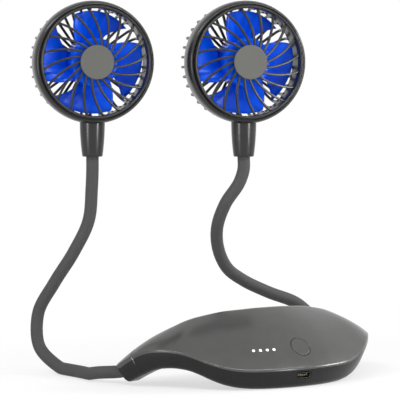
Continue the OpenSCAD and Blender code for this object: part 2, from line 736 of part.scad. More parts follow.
// A smooth curve through those points, kept from sinking below the table
function chord(p, i) = norm(p[i + 1] - p[i]);
function pull_at(p, i) =
    i == 0 ? (p[1] - p[0]) / chord(p, 0)
    : i == len(p) - 1 ? (p[i] - p[i - 1]) / chord(p, i - 1)
    : let (a = chord(p, i - 1), b = chord(p, i))
      ((p[i + 1] - p[i]) * a / b + (p[i] - p[i - 1]) * b / a) / (a + b);
function on_table(p) = [p[0], p[1], max(p[2], tube_r)];
function smooth(p) = concat(
    [for (i = [0:len(p) - 2], k = [0:path_steps - 1])
        on_table(hermite(p[i], p[i + 1], pull_at(p, i) * chord(p, i),
            pull_at(p, i + 1) * chord(p, i), k / path_steps))],
    [p[len(p) - 1]]);
function runs(p) =
    [for (i = 0, s = 0; i < len(p); s = s + (i < len(p) - 1 ? chord(p, i) : 0), i = i + 1) s];
function span_at(marks, s, i = 0) =
    i >= len(marks) - 2 || s < marks[i + 1] ? i : span_at(marks, s, i + 1);
function place_at(p, marks, s) =
    let (i = span_at(marks, s))
    mix(p[i], p[i + 1], (s - marks[i]) / (marks[i + 1] - marks[i]));

left_path = smooth(arm_points(left));
right_path = smooth(arm_points(right));
left_marks = runs(left_path);
right_marks = runs(right_path);
function arm_path(side) = side > 0 ? right_path : left_path;
function arm_marks(side) = side > 0 ? right_marks : left_marks;
function arm_length(side) = arm_marks(side)[len(arm_marks(side)) - 1];
function arm_place(side, share) =
    place_at(arm_path(side), arm_marks(side), share * arm_length(side));
function arm_way(side, share) =
    let (step = 1 / ring_steps / 4)
    unit(arm_place(side, min(share + step, 1)) - arm_place(side, max(share - step, 0)));

// Frames carried along an arm without twist: [place, way, across]
function square_to(way, across) = unit(across - (across * way) * way);
function arm_frames(side) =
    [for (j = 0, way = arm_way(side, 0), across = square_to(way, [0, 0, 1]);
          j <= ring_steps;
          j = j + 1, way = arm_way(side, min(j / ring_steps, 1)), across = square_to(way, across))
        [arm_place(side, j / ring_steps), way, across]];
left_frames = arm_frames(left);
right_frames = arm_frames(right);
function ring_points(frame, radius) =
    [for (i = [0:tube_sides - 1])
        let (angle = 360 * i / tube_sides)
        frame[0] + radius * (cos(angle) * frame[2] + sin(angle) * cross(frame[1], frame[2]))];

function section_rings(side, section, radius) =
    [for (j = [section * section_steps:(section + 1) * section_steps])
        ring_points((side > 0 ? right_frames : left_frames)[j], radius)];

module core(side, section) color(metal_color)
    lump(section_rings(side, section, core_r));

// A sleeve section is a tube wall: the skin of its outside, of its bore, and two end rings
module sleeve(side, section) color(sleeve_color) {
    outside = section_rings(side, section, tube_r);
    inside = section_rings(side, section, core_r + fit_gap);
    n = tube_sides;
    count = section_steps + 1;
    shift = count * n;
    last = (count - 1) * n;
    bore = [for (face = skin(count, n)) [face[0] + shift, face[2] + shift, face[1] + shift]];
    ends = [for (i = [0:n - 1]) let (k = (i + 1) % n) each [
        [i, k, shift + i], [k, shift + k, shift + i],
        [last + k, last + i, shift + last + i], [last + k, shift + last + i, shift + last + k]]];
    polyhedron(points = concat([for (ring = outside) each ring], [for (ring = inside) each ring]),
        faces = concat(skin(count, n), bore, ends));
}

// A head's own frame: local X across, Y up and Z forward along the fan's axis
module in_head(side)
    translate(head_place(side)) rotate([0, 0, -head_turn]) rotate([90, 0, 0]) children();

// Outlines of the head, as [radius, forward] points
rim_edge_r = head_r - rim_taper;
rim_seat_f = rim_front - bezel_seat;
seat_r = rim_edge_r - rim_taper / 2;
rim_inner_r = rim_edge_r - rim_wall;
rim_curve = concat(
    bend([rim_edge_r, -rim_back], [head_r, -rim_back / 3], [head_r, rim_mid], bend_steps),
    [for (i = [1:bend_steps]) bend([head_r, rim_mid],
        [head_r, mix(rim_mid, rim_front, .7)], [rim_edge_r, rim_front], bend_steps)[i]]);
cage_bend = rim_back * .8;
function cage_curve(depth) = bend([rim_edge_r - depth, -cage_back + cage_bend],
    [rim_edge_r - depth, depth - cage_back], [rim_edge_r - cage_bend, depth - cage_back], bend_steps);

module rim() rotate_extrude()
    polygon(concat(rim_curve, [[seat_r, rim_front], [seat_r, rim_seat_f],
        [rim_inner_r, rim_seat_f], [rim_inner_r, -rim_back]]));

module cage_band() rotate_extrude()
    polygon(concat([[rim_edge_r, -rim_back + fin_t]], cage_curve(0),
        [[back_disc_r - fin_t, -cage_back], [back_disc_r - fin_t, fin_depth - cage_back]],
        reversed(cage_curve(fin_depth)), [[rim_edge_r - fin_depth, -rim_back + fin_t]]));

// The lead's slanted way through the rim into the socket
lead_top = [0, -rim_inner_r + lead_r + near_gap, -rim_back + lead_r * 2];
lead_end = [0, -socket_mouth + neck_insert + lead_r, 0];
module lead_bore() along(lead_top - over * unit(lead_end - lead_top), lead_end - lead_top)
    cylinder(r = lead_r + near_gap, h = norm(lead_end - lead_top) + over, $fn = small_fn);

cup_r = motor_r + fit_gap + cup_wall;
cup_floor = cage_back - fin_depth / 2;
lead_f = -cage_back + fin_depth + lead_r + near_gap;

module rear_grille(side) color(side_color) in_head(side) difference() {
    union() {
        rim();
        for (i = [0:fin_count - 1])
            intersection() {
                cage_band();
                rotate([0, 0, 360 * (i + 1 / 2) / fin_count - 90])
                    translate([back_disc_r - fin_t / 2, -fin_t / 2, -cage_back - over])
                        cube([head_r, fin_t, cage_back]);
            }
        translate([0, 0, -cage_back]) cylinder(r = back_disc_r, h = fin_depth);
        translate([0, 0, -cage_back]) cylinder(r = cup_r, h = cup_len + cage_back - cup_floor);
    }
    translate([0, 0, -cup_floor]) cylinder(r = motor_r + fit_gap, h = cage_back);
    lead_bore();
    translate([0, -motor_r, lead_f]) rotate([90, 0, 0])
        cylinder(r = lead_r + near_gap, h = 2 * cup_wall + near_gap, $fn = small_fn);
}

// The front grille: a bezel in the rim's seat, a domed set of ribs and a small middle boss
bezel_out_r = seat_r - fit_gap;
bezel_groove_r = bezel_out_r - groove_w;
bezel_in_r = bezel_out_r - bezel_wall;
boss_r = cap_r - rib_w / 2;
cap_f = rib_hub_f + fit_gap;
module bezel() rotate_extrude()
    polygon(concat([[bezel_in_r, rim_seat_f], [bezel_out_r, rim_seat_f],
        [bezel_out_r, rim_front - bezel_seat / 2], [bezel_groove_r, rim_front - bezel_seat / 2]],
        bend([bezel_groove_r, rim_front], [bezel_groove_r, bezel_front],
            [mix(bezel_in_r, bezel_groove_r, .3), bezel_front], bend_steps),
        [[bezel_in_r, bezel_front - groove_w]]));

function dome_f(r) = mix(rib_hub_f, rib_wall_f, (r / bezel_in_r) ^ 2);
dome_rs = [for (i = [0:bend_steps]) mix(boss_r - rib_w, bezel_in_r + groove_w, i / bend_steps)];
module dome() rotate_extrude()
    polygon(concat([for (r = dome_rs) [r, dome_f(r) - rib_depth]],
        [for (r = reversed(dome_rs)) [r, dome_f(r)]]));

// One rib in plan: a band along an arc that passes the boss's edge
rib_arc_up = sqrt(rib_arc_r ^ 2 - (boss_r + rib_arc_side) ^ 2);
module rib_plan() intersection() {
    translate([-rib_arc_side, rib_arc_up]) difference() {
        circle(r = rib_arc_r + rib_w / 2, $fn = 3 * $fn);
        circle(r = rib_arc_r - rib_w / 2, $fn = 3 * $fn);
    }
    translate([boss_r - rib_w, -boss_r]) square([head_r, 2 * head_r]);
}

module front_grille(side) color(side_color) in_head(side) difference() {
    union() {
        bezel();
        intersection() {
            dome();
            for (i = [0:rib_count - 1])
                rotate([0, 0, 360 / rib_count * (i - 1 / 8)])
                    linear_extrude(bezel_front) rib_plan();
        }
        translate([0, 0, dome_f(boss_r) - rib_depth])
            cylinder(r = boss_r, h = rib_hub_f - dome_f(boss_r) + rib_depth);
    }
    translate([0, 0, rib_hub_f - peg_len])
        cylinder(r = peg_r + fit_gap, h = peg_len + over, $fn = small_fn * 2);
}

module hub_cap(side) color("#6a6a66") in_head(side) {
    translate([0, 0, rib_hub_f]) cylinder(r = cap_r, h = cap_t);
    translate([0, 0, rib_hub_f - peg_len + fit_gap])
        cylinder(r = peg_r, h = peg_len, $fn = small_fn * 2);
}

can_back = -cup_floor;
can_front = can_back + motor_len;
shaft_back = can_back + motor_len / 4;
shaft_front = hub_front - 2 * hub_wall;
spindle_back = can_front + 3 * motor_cap_t;

module motor_can(side) color(metal_color) in_head(side) difference() {
    translate([0, 0, can_back]) cylinder(r = motor_r, h = motor_len);
    translate([0, 0, shaft_back - near_gap])
        cylinder(r = shaft_r + run_gap, h = motor_len, $fn = small_fn);
}

module motor_cap(side) color("white") in_head(side) difference() {
    union() {
        translate([0, 0, can_front]) cylinder(r = motor_r, h = motor_cap_t);
        translate([0, 0, can_front]) cylinder(r = 3 * shaft_r, h = 2 * motor_cap_t, $fn = small_fn);
    }
    translate([0, 0, can_front - over])
        cylinder(r = shaft_r + run_gap, h = 2 * motor_cap_t + 2 * over, $fn = small_fn);
}

module motor_shaft(side) color(metal_color) in_head(side)
    translate([0, 0, shaft_back]) cylinder(r = shaft_r, h = shaft_front - shaft_back, $fn = small_fn);

// One blade: a thin pitched sheet from inside the hub's wall to the tip
fan_r = rim_inner_r - blade_gap;
blade_front = hub_front - blade_set;
blade_back = -hub_back + blade_t / 2;
blade_radii = [for (i = [0:4]) mix(fan_hub_r - hub_wall / 2, fan_r, i / 4)];
blade_turns = [for (i = [0:8]) i / 8];
function blade_f(u) = mix(blade_back, blade_front, (1 - cos(180 * u)) / 4 + u / 2);
function blade_turn(u, v) = blade_sweep * (u - 1 / 2) - blade_skew * v;
module blade() {
    rings = [for (v = [0:4])
        concat(
            [for (u = blade_turns) let (angle = blade_turn(u, v / 4))
                [blade_radii[v] * cos(angle), blade_radii[v] * sin(angle), blade_f(u)]],
            [for (u = reversed(blade_turns)) let (angle = blade_turn(u, v / 4))
                [blade_radii[v] * cos(angle), blade_radii[v] * sin(angle), blade_f(u) + blade_t]])];
    strip(rings);
}

module impeller(side) color(blue_color) in_head(side) {
    rotate_extrude()
        polygon(concat([[fan_hub_r - hub_wall, -hub_back], [fan_hub_r, -hub_back]],
            bend([fan_hub_r, hub_front - 2 * hub_wall], [fan_hub_r, hub_front],
                [fan_hub_r - 2 * hub_wall, hub_front], bend_steps),
            [[0, hub_front], [0, shaft_front + near_gap / 2],
             [shaft_r + run_gap, shaft_front + near_gap / 2],
             [shaft_r + run_gap, spindle_back], [3 * shaft_r, spindle_back],
             [3 * shaft_r, hub_front - hub_wall],
             [fan_hub_r - 2 * hub_wall, hub_front - hub_wall],
             [fan_hub_r - hub_wall, hub_front - 2 * hub_wall]]));
    for (i = [0:blade_count - 1])
        rotate([0, 0, 360 / blade_count * (i + 1 / 10)]) blade();
}

// The motor's lead, in the head's frame: out of the cup, down the cage's back, forward, and
// through the slanted way to the arm's end
lead_low = lead_top[1];
lead_points = [[0, -motor_r - lead_r / 2, lead_f], [0, lead_low / 2, lead_f],
    [0, lead_low * .85, lead_f], [0, lead_low, lead_f + 3 * lead_r],
    [0, lead_low, mix(lead_f, lead_top[2], .65)], lead_top,
    mix(lead_top, lead_end, 1 / 4), mix(lead_top, lead_end, 1 / 2), lead_end];
lead_path = [for (i = [0:len(lead_points) - 2], k = [0:1])
    hermite(lead_points[i], lead_points[i + 1], pull_at(lead_points, i) * chord(lead_points, i),
        pull_at(lead_points, i + 1) * chord(lead_points, i), k / 2), lead_end];
function lead_way(i) = unit(lead_path[min(i + 1, len(lead_path) - 1)] - lead_path[max(i - 1, 0)]);
module motor_lead(side) color(black_color) in_head(side)
    lump([for (i = [0:len(lead_path) - 1])
        [for (k = [0:7])
            lead_path[i] + lead_r * (cos(45 * k) * [1, 0, 0] - sin(45 * k) * cross([1, 0, 0], lead_way(i)))]]);

// A socket: a round collar below the rim, shaped to it, with the arm's bore
module head_envelope(gap) rotate_extrude()
    polygon(concat([[0, -cage_back]], reversed(cage_curve(-gap)),
        [for (p = rim_curve) p + [gap, 0]], [[0, rim_front]]));
socket_profile = concat([[0, -socket_mouth], [socket_end_r - groove_w, -socket_mouth]],
    bend([socket_end_r, groove_w - socket_mouth], [mix(socket_end_r, socket_top_r, .9), -socket_mouth
        + socket_len / 2], [socket_top_r, -head_r], bend_steps),
    [[socket_top_r, -head_r + socket_top_r], [0, -head_r + socket_top_r]]);

module neck_socket(side) color(side_color) difference() {
    translate(head_place(side)) rotate_extrude() polygon(socket_profile);
    in_head(side) head_envelope(fit_gap);
    translate(mouth_point(side) - [0, 0, over])
        cylinder(r = tube_r + fit_gap, h = neck_insert + near_gap + over);
    in_head(side) lead_bore();
}

upper_cover();
lower_cover();
ferrule(left);  // left_ferrule
ferrule(right);  // right_ferrule
cover_screws();
power_button();
switch_plunger();
button_switch();
lamp_lenses();
lamp_chips();
lamp_board();
main_board();
usb_shell();
usb_tongue();
charge_board();
board_screws();
battery_cells();
sleeve(left, 0);  // left_sleeve_foot
sleeve(left, 1);  // left_sleeve_swing
sleeve(left, 2);  // left_sleeve_lean
sleeve(left, 3);  // left_sleeve_tilt
sleeve(left, 4);  // left_sleeve_turn
core(left, 0);  // left_core_foot
core(left, 1);  // left_core_swing
core(left, 2);  // left_core_lean
core(left, 3);  // left_core_tilt
core(left, 4);  // left_core_turn
neck_socket(left);  // left_neck_socket
rear_grille(left);  // left_rear_grille
front_grille(left);  // left_front_grille
hub_cap(left);  // left_hub_cap
motor_can(left);  // left_motor_can
motor_cap(left);  // left_motor_cap
motor_lead(left);  // left_motor_lead
motor_shaft(left);  // left_motor_shaft
impeller(left);  // left_impeller
sleeve(right, 0);  // right_sleeve_foot
sleeve(right, 1);  // right_sleeve_swing
sleeve(right, 2);  // right_sleeve_lean
sleeve(right, 3);  // right_sleeve_tilt
sleeve(right, 4);  // right_sleeve_turn
core(right, 0);  // right_core_foot
core(right, 1);  // right_core_swing
core(right, 2);  // right_core_lean
core(right, 3);  // right_core_tilt
core(right, 4);  // right_core_turn
neck_socket(right);  // right_neck_socket
rear_grille(right);  // right_rear_grille
front_grille(right);  // right_front_grille
hub_cap(right);  // right_hub_cap
motor_can(right);  // right_motor_can
motor_cap(right);  // right_motor_cap
motor_lead(right);  // right_motor_lead
motor_shaft(right);  // right_motor_shaft
impeller(right);  // right_impeller
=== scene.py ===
"""Looks of an electric neck fan: a hollow neck band, two flexible arms and two caged fan heads.

The classes hold their sizes in millimetres and degrees, as the part's source does, and make
their meshes in metres. Origin: middle of the flat underside at the nape. +Z up, +Y from the
nape to the throat, +X to the right arm.
"""

import json
import logging
import math
import sys
from collections.abc import Callable, Sequence
from dataclasses import dataclass
from enum import Enum
from functools import cache
from typing import TypeVar

import bmesh
import bpy
from mathutils import Matrix, Vector

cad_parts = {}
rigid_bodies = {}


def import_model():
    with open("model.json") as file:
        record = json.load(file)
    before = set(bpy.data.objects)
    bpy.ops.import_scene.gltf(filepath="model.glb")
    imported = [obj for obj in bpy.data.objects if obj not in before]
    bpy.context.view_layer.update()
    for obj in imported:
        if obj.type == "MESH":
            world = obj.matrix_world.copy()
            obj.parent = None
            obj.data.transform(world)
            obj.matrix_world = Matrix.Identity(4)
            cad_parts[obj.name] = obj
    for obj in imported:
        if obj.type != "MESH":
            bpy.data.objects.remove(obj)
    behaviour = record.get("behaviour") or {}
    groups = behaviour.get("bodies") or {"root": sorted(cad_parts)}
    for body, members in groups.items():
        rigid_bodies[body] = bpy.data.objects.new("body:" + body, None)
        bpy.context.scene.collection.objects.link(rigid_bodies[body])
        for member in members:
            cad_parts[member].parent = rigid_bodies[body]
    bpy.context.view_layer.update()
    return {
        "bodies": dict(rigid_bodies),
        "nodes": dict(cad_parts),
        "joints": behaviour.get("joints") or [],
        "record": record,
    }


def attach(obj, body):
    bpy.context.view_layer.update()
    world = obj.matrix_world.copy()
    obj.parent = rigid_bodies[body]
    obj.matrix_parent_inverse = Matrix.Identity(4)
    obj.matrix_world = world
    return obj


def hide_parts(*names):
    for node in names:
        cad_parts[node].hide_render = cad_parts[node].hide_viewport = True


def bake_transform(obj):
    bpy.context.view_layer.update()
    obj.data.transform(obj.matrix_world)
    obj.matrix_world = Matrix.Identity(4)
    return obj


LOG = logging.getLogger("neck_fan")
MM = 0.001
SAME_SPOT = 1e-7
POINT = 0.01
Table = tuple[tuple[float, float], ...]
Triple = tuple[float, float, float]
Pairs = Sequence[tuple[float, float]]
Outline = list[tuple[float, float]]
Form = bmesh.types.BMesh
Object = bpy.types.Object
Material = bpy.types.Material
Socket = bpy.types.NodeSocket
Value = TypeVar("Value", float, Vector)


class Side(Enum):
    """The wearer's left or right, as the sign of X."""

    LEFT = -1
    RIGHT = 1

    @property
    def label(self) -> str:
        """The word that the nodes' names start with."""
        return self.name.lower()


# Plain curves, grids and revolved shapes


def share_at(table: Table, t: float) -> float:
    """Read a table of shares smoothly, with no overshoot between its rows.

    Args:
        table: Rows of place and value, by rising place.
        t: The place to read.

    Returns:
        The value there.
    """
    def secant(i: int) -> float:
        """Slope from row i to the next."""
        return (table[i + 1][1] - table[i][1]) / (table[i + 1][0] - table[i][0])

    def slope(i: int) -> float:
        """Slope of the curve at row i."""
        if i == 0:
            return 0.0
        if i == len(table) - 1:
            return secant(i - 1)
        a, b = secant(i - 1), secant(i)
        return 0.0 if a * b <= 0 else 2 * a * b / (a + b)

    i = max(k for k in range(len(table) - 1) if k == 0 or t >= table[k][0])
    run = table[i + 1][0] - table[i][0]
    u = (t - table[i][0]) / run
    return hermite(table[i][1], table[i + 1][1], slope(i) * run, slope(i + 1) * run, u)


def hermite(a: Value, b: Value, pull_a: Value, pull_b: Value, u: float) -> Value:
    """A cubic between a and b with the given pulls, for numbers or vectors."""
    return (a * (2 * u**3 - 3 * u**2 + 1) + b * (3 * u**2 - 2 * u**3)
            + pull_a * (u**3 - 2 * u**2 + u) + pull_b * (u**3 - u**2))


def bend(a: Vector, b: Vector, c: Vector, marks: Sequence[float]) -> list[Vector]:
    """Points on the curve from a to c that b pulls, at each mark from 0 to 1."""
    return [a.lerp(b, u).lerp(b.lerp(c, u), u) for u in marks]


def even(steps: int, first: int = 0) -> list[float]:
    """Even marks from 0 to 1, leaving out those before first."""
    return [i / steps for i in range(first, steps + 1)]


def toward(a: Vector, b: Vector, run: float) -> Vector:
    """The point that lies run away from a on the way to b."""
    return a + run * (b - a).normalized()


def inset(points: Sequence[Vector], depth: float) -> list[Vector]:
    """A closed outline moved inward, with mitred corners.

    Args:
        points: The outline, as radius and height.
        depth: How far it moves.

    Returns:
        The inner outline, point for point.
    """
    moved = []
    for i, here in enumerate(points):
        a = (here - points[i - 1]).normalized()
        b = (points[(i + 1) % len(points)] - here).normalized()
        way = (a + b).normalized()
        moved.append(here - depth / way.dot(a) * Vector((way.y, -way.x)))
    return moved


def grid(rows: Sequence[Sequence[Vector]], along: bool = False) -> Form:
    """A tube of quads through rings of points, open at its ends unless they are joined.

    Args:
        rows: Rings of equal length, in millimetres.
        along: Whether the last ring joins the first.

    Returns:
        A new bmesh in metres.
    """
    laps = [[*row, row[0]] for row in rows]
    if along:
        laps.append(laps[0])
    bm = bmesh.new()
    made = bmesh.ops.create_grid(bm, x_segments=len(laps[0]) - 1, y_segments=len(laps) - 1, size=1.0)
    for vert, point in zip(made["verts"], (p for lap in laps for p in lap)):
        vert.co = point * MM
    bmesh.ops.remove_doubles(bm, verts=bm.verts, dist=SAME_SPOT)
    return bm


def solid(rows: Sequence[Sequence[Vector]]) -> Form:
    """A closed shape through rings of points, in metres."""
    bm = grid(rows)
    close_ends(bm)
    return bm


def open_rims(bm: Form) -> list[list[bmesh.types.BMEdge]]:
    """The open edges of a sheet, one list for each rim."""
    left = [e for e in bm.edges if e.is_boundary]
    rims = []
    while left:
        rim, ahead = [], [left.pop()]
        while ahead:
            edge = ahead.pop()
            rim.append(edge)
            near = [e for v in edge.verts for e in v.link_edges if e in left]
            for e in dict.fromkeys(near):
                left.remove(e)
                ahead.append(e)
        rims.append(rim)
    return rims


def close_ends(bm: Form) -> None:
    """Fill every open rim on its own and turn all faces outward."""
    for rim in open_rims(bm):
        bmesh.ops.triangle_fill(bm, edges=rim, use_beauty=True, use_dissolve=False)
    bmesh.ops.recalc_face_normals(bm, faces=bm.faces)


def lathe(profile: Pairs, steps: int = 96, closed: bool = True) -> Form:
    """A profile spun round the Z axis.

    Args:
        profile: Points as radius and height, in millimetres.
        steps: Steps round the axis.
        closed: Whether the last point joins the first.

    Returns:
        A new bmesh in metres, with its faces outward.
    """
    bm = bmesh.new()
    verts = [bm.verts.new((r * MM, 0, z * MM)) for r, z in profile]
    pairs = list(zip(verts, verts[1:])) + ([(verts[-1], verts[0])] if closed else [])
    edges = [bm.edges.new(pair) for pair in pairs]
    bmesh.ops.spin(bm, geom=verts + edges, axis=(0, 0, 1), cent=(0, 0, 0), angle=math.tau,
                   steps=steps, use_merge=True, use_normal_flip=False, use_duplicate=False)
    bmesh.ops.remove_doubles(bm, verts=bm.verts, dist=SAME_SPOT)
    bmesh.ops.recalc_face_normals(bm, faces=bm.faces)
    return bm


def arc(x: float, y: float, radius: float, start: float, end: float, steps: int = 4) -> Outline:
    """Points on a circular arc round x and y, by angle in degrees from start to end."""
    angles = (math.radians(start + (end - start) * i / steps) for i in range(steps + 1))
    return [(x + radius * math.cos(a), y + radius * math.sin(a)) for a in angles]


def rounded(corners: Pairs, reaches: Sequence[float], steps: int = 3) -> Outline:
    """A closed outline whose corners are rounded.

    Args:
        corners: The outline's corners.
        reaches: How far each corner's rounding reaches along the edges.
        steps: Steps on each rounding.

    Returns:
        The rounded outline.
    """
    points = [Vector(c) for c in corners]
    made: Outline = []
    for i, (here, reach) in enumerate(zip(points, reaches)):
        a = toward(here, points[i - 1], reach)
        b = toward(here, points[(i + 1) % len(points)], reach)
        made += [tuple(p) for p in bend(a, here, b, even(steps))]
    return made


def curve(a: tuple[float, float], b: tuple[float, float], c: tuple[float, float],
          marks: Sequence[float]) -> Outline:
    """The same as bend, for points given and wanted as pairs."""
    return [tuple(p) for p in bend(Vector(a), Vector(b), Vector(c), marks)]


def heading(path: Sequence[Vector], i: int) -> Vector:
    """The direction of a path at its point i."""
    return (path[min(i + 1, len(path) - 1)] - path[max(i - 1, 0)]).normalized()


def swept(path: Sequence[Vector], across: Sequence[Vector], section: Pairs) -> list[list[Vector]]:
    """Copies of a section along a path.

    Args:
        path: Points of the path.
        across: The section's first direction at each point.
        section: The section's points, along that direction and square to it.

    Returns:
        One ring of points for each point of the path.
    """
    rings = []
    for i, here in enumerate(path):
        way = heading(path, i)
        first = (across[i] - across[i].dot(way) * way).normalized()
        second = way.cross(first)
        rings.append([here + a * first + b * second for a, b in section])
    return rings


def joined(parts: Sequence[Form]) -> Form:
    """All parts as one bmesh; the parts are freed."""
    whole = bmesh.new()
    for part in parts:
        mesh = bpy.data.meshes.new("part")
        part.to_mesh(mesh)
        part.free()
        whole.from_mesh(mesh)
        bpy.data.meshes.remove(mesh)
    return whole


def turned(bm: Form, matrix: Matrix) -> Form:
    """The same bmesh moved by a matrix in metres."""
    bmesh.ops.transform(bm, matrix=matrix, verts=bm.verts)
    return bm


def place(x: float, y: float, z: float) -> Matrix:
    """A move by a point in millimetres."""
    return Matrix.Translation(Vector((x, y, z)) * MM)


def turn(angle: float, axis: str) -> Matrix:
    """A turn by an angle in degrees."""
    return Matrix.Rotation(math.radians(angle), 4, axis)


def ring_of(make: Callable[[], Form], count: int, start: float) -> list[Form]:
    """Copies of a shape spread evenly round the Z axis, the first at a number of steps."""
    return [turned(make(), turn(360 / count * (i + start), "Z")) for i in range(count)]


def shade(bm: Form, crease: float) -> None:
    """Smooth every face, and keep the edges that turn by more than crease degrees sharp."""
    for face in bm.faces:
        face.smooth = True
    for edge in bm.edges:
        edge.smooth = len(edge.link_faces) == 2 and edge.calc_face_angle(0.0) < math.radians(crease)


def mesh_object(bm: Form, name: str, crease: float = 35.0) -> Object:
    """An object from a bmesh, smooth but for its sharp edges; the bmesh is freed.

    Args:
        bm: The shape, in metres and in place.
        name: The object's name.
        crease: Edges that turn by more than this many degrees stay sharp.

    Returns:
        The linked object.
    """
    shade(bm, crease)
    mesh = bpy.data.meshes.new(name)
    bm.to_mesh(mesh)
    bm.free()
    obj = bpy.data.objects.new(name, mesh)
    bpy.context.scene.collection.objects.link(obj)
    return obj


def carved(obj: Object, cutters: Sequence[Form], operation: str = "DIFFERENCE",
           crease: float = 35.0) -> Object:
    """Cut shapes out of an object, or add them to it.

    Args:
        obj: The object.
        cutters: Closed shapes in metres; they are freed.
        operation: The boolean modifier's operation.
        crease: As in mesh_object.

    Returns:
        The same object with its new mesh.
    """
    tools = [mesh_object(cutter, f"{obj.name}_cutter_{i}") for i, cutter in enumerate(cutters)]
    for tool in tools:
        modifier = obj.modifiers.new("cut", "BOOLEAN")
        modifier.operation = operation
        modifier.solver = "EXACT"
        modifier.object = tool
    graph = bpy.context.evaluated_depsgraph_get()
    graph.update()
    mesh = bpy.data.meshes.new_from_object(obj.evaluated_get(graph))
    obj.modifiers.clear()
    old, obj.data = obj.data, mesh
    bpy.data.meshes.remove(old)
    for tool in tools:
        data = tool.data
        bpy.data.objects.remove(tool)
        bpy.data.meshes.remove(data)
    bm = bmesh.new()
    bm.from_mesh(mesh)
    bmesh.ops.remove_doubles(bm, verts=bm.verts, dist=10 * SAME_SPOT)
    bmesh.ops.dissolve_degenerate(bm, edges=bm.edges, dist=10 * SAME_SPOT)
    shade(bm, crease)
    bm.to_mesh(mesh)
    bm.free()
    return obj


def settle(obj: Object, body: str, materials: Sequence[Material], node: str) -> None:
    """Dress a rigid piece and let it ride on its body.

    Args:
        obj: The piece.
        body: The body that it rides on.
        materials: Its materials, in the order of its faces' indices.
        node: The node that it stands for.
    """
    dress(obj, materials, node)
    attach(obj, body)


def dress(obj: Object, materials: Sequence[Material], node: str) -> None:
    """Give a piece its materials, hide the node that it stands for, and report it."""
    obj.data.materials.clear()
    for material in materials:
        obj.data.materials.append(material)
    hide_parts(node)
    LOG.info("%s: %d faces, for %s", obj.name, len(obj.data.polygons), node)


# Finishes


class Group(Enum):
    """The shared effects, by the names of their node groups."""

    MOULDED = "moulded_surface"
    DUST = "settled_dust"
    DRAWN = "drawn_metal"


@dataclass
class Wiring:
    """Short calls to place and join the nodes of one tree."""

    tree: bpy.types.NodeTree

    def feed(self, node: bpy.types.Node, values: dict[str | int, object]) -> None:
        """Set a node's inputs, by name or index; a socket among the values is linked."""
        for key, value in values.items():
            if isinstance(value, Socket):
                self.tree.links.new(value, node.inputs[key])
            else:
                node.inputs[key].default_value = value

    def node(self, kind: str, values: dict[str | int, object] | None = None,
             **settings: object) -> bpy.types.Node:
        """Place a node, set its properties and its input values.

        Args:
            kind: The node's type, after ShaderNode.
            values: Input values by name or index; a socket there is linked.
            settings: The node's own properties.

        Returns:
            The node.
        """
        made = self.tree.nodes.new(f"ShaderNode{kind}")
        for name, value in settings.items():
            setattr(made, name, value)
        self.feed(made, values or {})
        return made

    def maths(self, operation: str, a: object, b: object = 0.0, clamp: bool = False) -> Socket:
        """The result of one sum on two values or sockets."""
        return self.node("Math", {0: a, 1: b}, operation=operation, use_clamp=clamp).outputs[0]

    def around(self, value: Socket, scale: object) -> Socket:
        """A noise turned into a swing round zero, times a scale."""
        return self.maths("MULTIPLY", self.maths("SUBTRACT", value, 0.5), scale)

    def spread(self, value: object, low: float, high: float, to_low: float, to_high: float) -> Socket:
        """A value moved from one span to another and kept inside it."""
        return self.node("MapRange", {0: value, 1: low, 2: high, 3: to_low, 4: to_high}).outputs[0]

    def scaled(self, colour: object, scale: object) -> Socket:
        """A colour times a number."""
        return self.node("VectorMath", {0: colour, "Scale": scale}, operation="SCALE").outputs[0]

    def blend(self, factor: object, a: object, b: object) -> Socket:
        """Two colours mixed by a factor."""
        return self.node("Mix", {0: factor, 6: a, 7: b}, data_type="RGBA").outputs[2]

    def noise(self, where: Socket, scale: object, detail: float = 3.0, rough: float = 0.5) -> Socket:
        """Plain noise, in the tenths round a half."""
        values = {"Vector": where, "Scale": scale, "Detail": detail, "Roughness": rough}
        return self.node("TexNoise", values).outputs["Fac"]

    def stretched(self, scale: Triple) -> Socket:
        """Object coordinates, scaled apart along the axes."""
        return self.node("Mapping", {"Vector": self.here, "Scale": scale}).outputs[0]

    def bump(self, height: Socket, depth: float, strength: float) -> Socket:
        """A normal bent by a height, at a depth in millimetres."""
        values = {"Strength": strength, "Distance": depth * MM, "Height": height}
        return self.node("Bump", values).outputs[0]

    @property
    def here(self) -> Socket:
        """Object coordinates."""
        return self.node("TexCoord").outputs["Object"]

    @property
    def background_ray(self) -> Socket:
        """One for rays that show the background: to the camera, in a reflection or through glass."""
        path = self.node("LightPath").outputs
        bounced = self.maths("MAXIMUM", path["Is Glossy Ray"], path["Is Transmission Ray"])
        return self.maths("MAXIMUM", path["Is Camera Ray"], bounced)


def new_group(kind: Group, inputs: dict[str, object],
              outputs: Sequence[str]) -> tuple[Wiring, bpy.types.NodeOutputs, bpy.types.Node]:
    """An empty shader node group with named sockets, colours where a name says so.

    Args:
        kind: Which effect it is.
        inputs: Name and default of each input.
        outputs: Name of each output.

    Returns:
        The group's wiring, the sockets of its input node, and its output node.
    """
    tree = bpy.data.node_groups.new(kind.value, "ShaderNodeTree")
    for way, names in (("INPUT", tuple(inputs)), ("OUTPUT", tuple(outputs))):
        for name in names:
            kind_of_socket = "NodeSocketColor" if name == "Colour" else "NodeSocketFloat"
            made = tree.interface.new_socket(name=name, in_out=way, socket_type=kind_of_socket)
            if way == "INPUT":
                made.default_value = inputs[name]
    inlet, outlet = tree.nodes.new("NodeGroupInput"), tree.nodes.new("NodeGroupOutput")
    return Wiring(tree), inlet.outputs, outlet


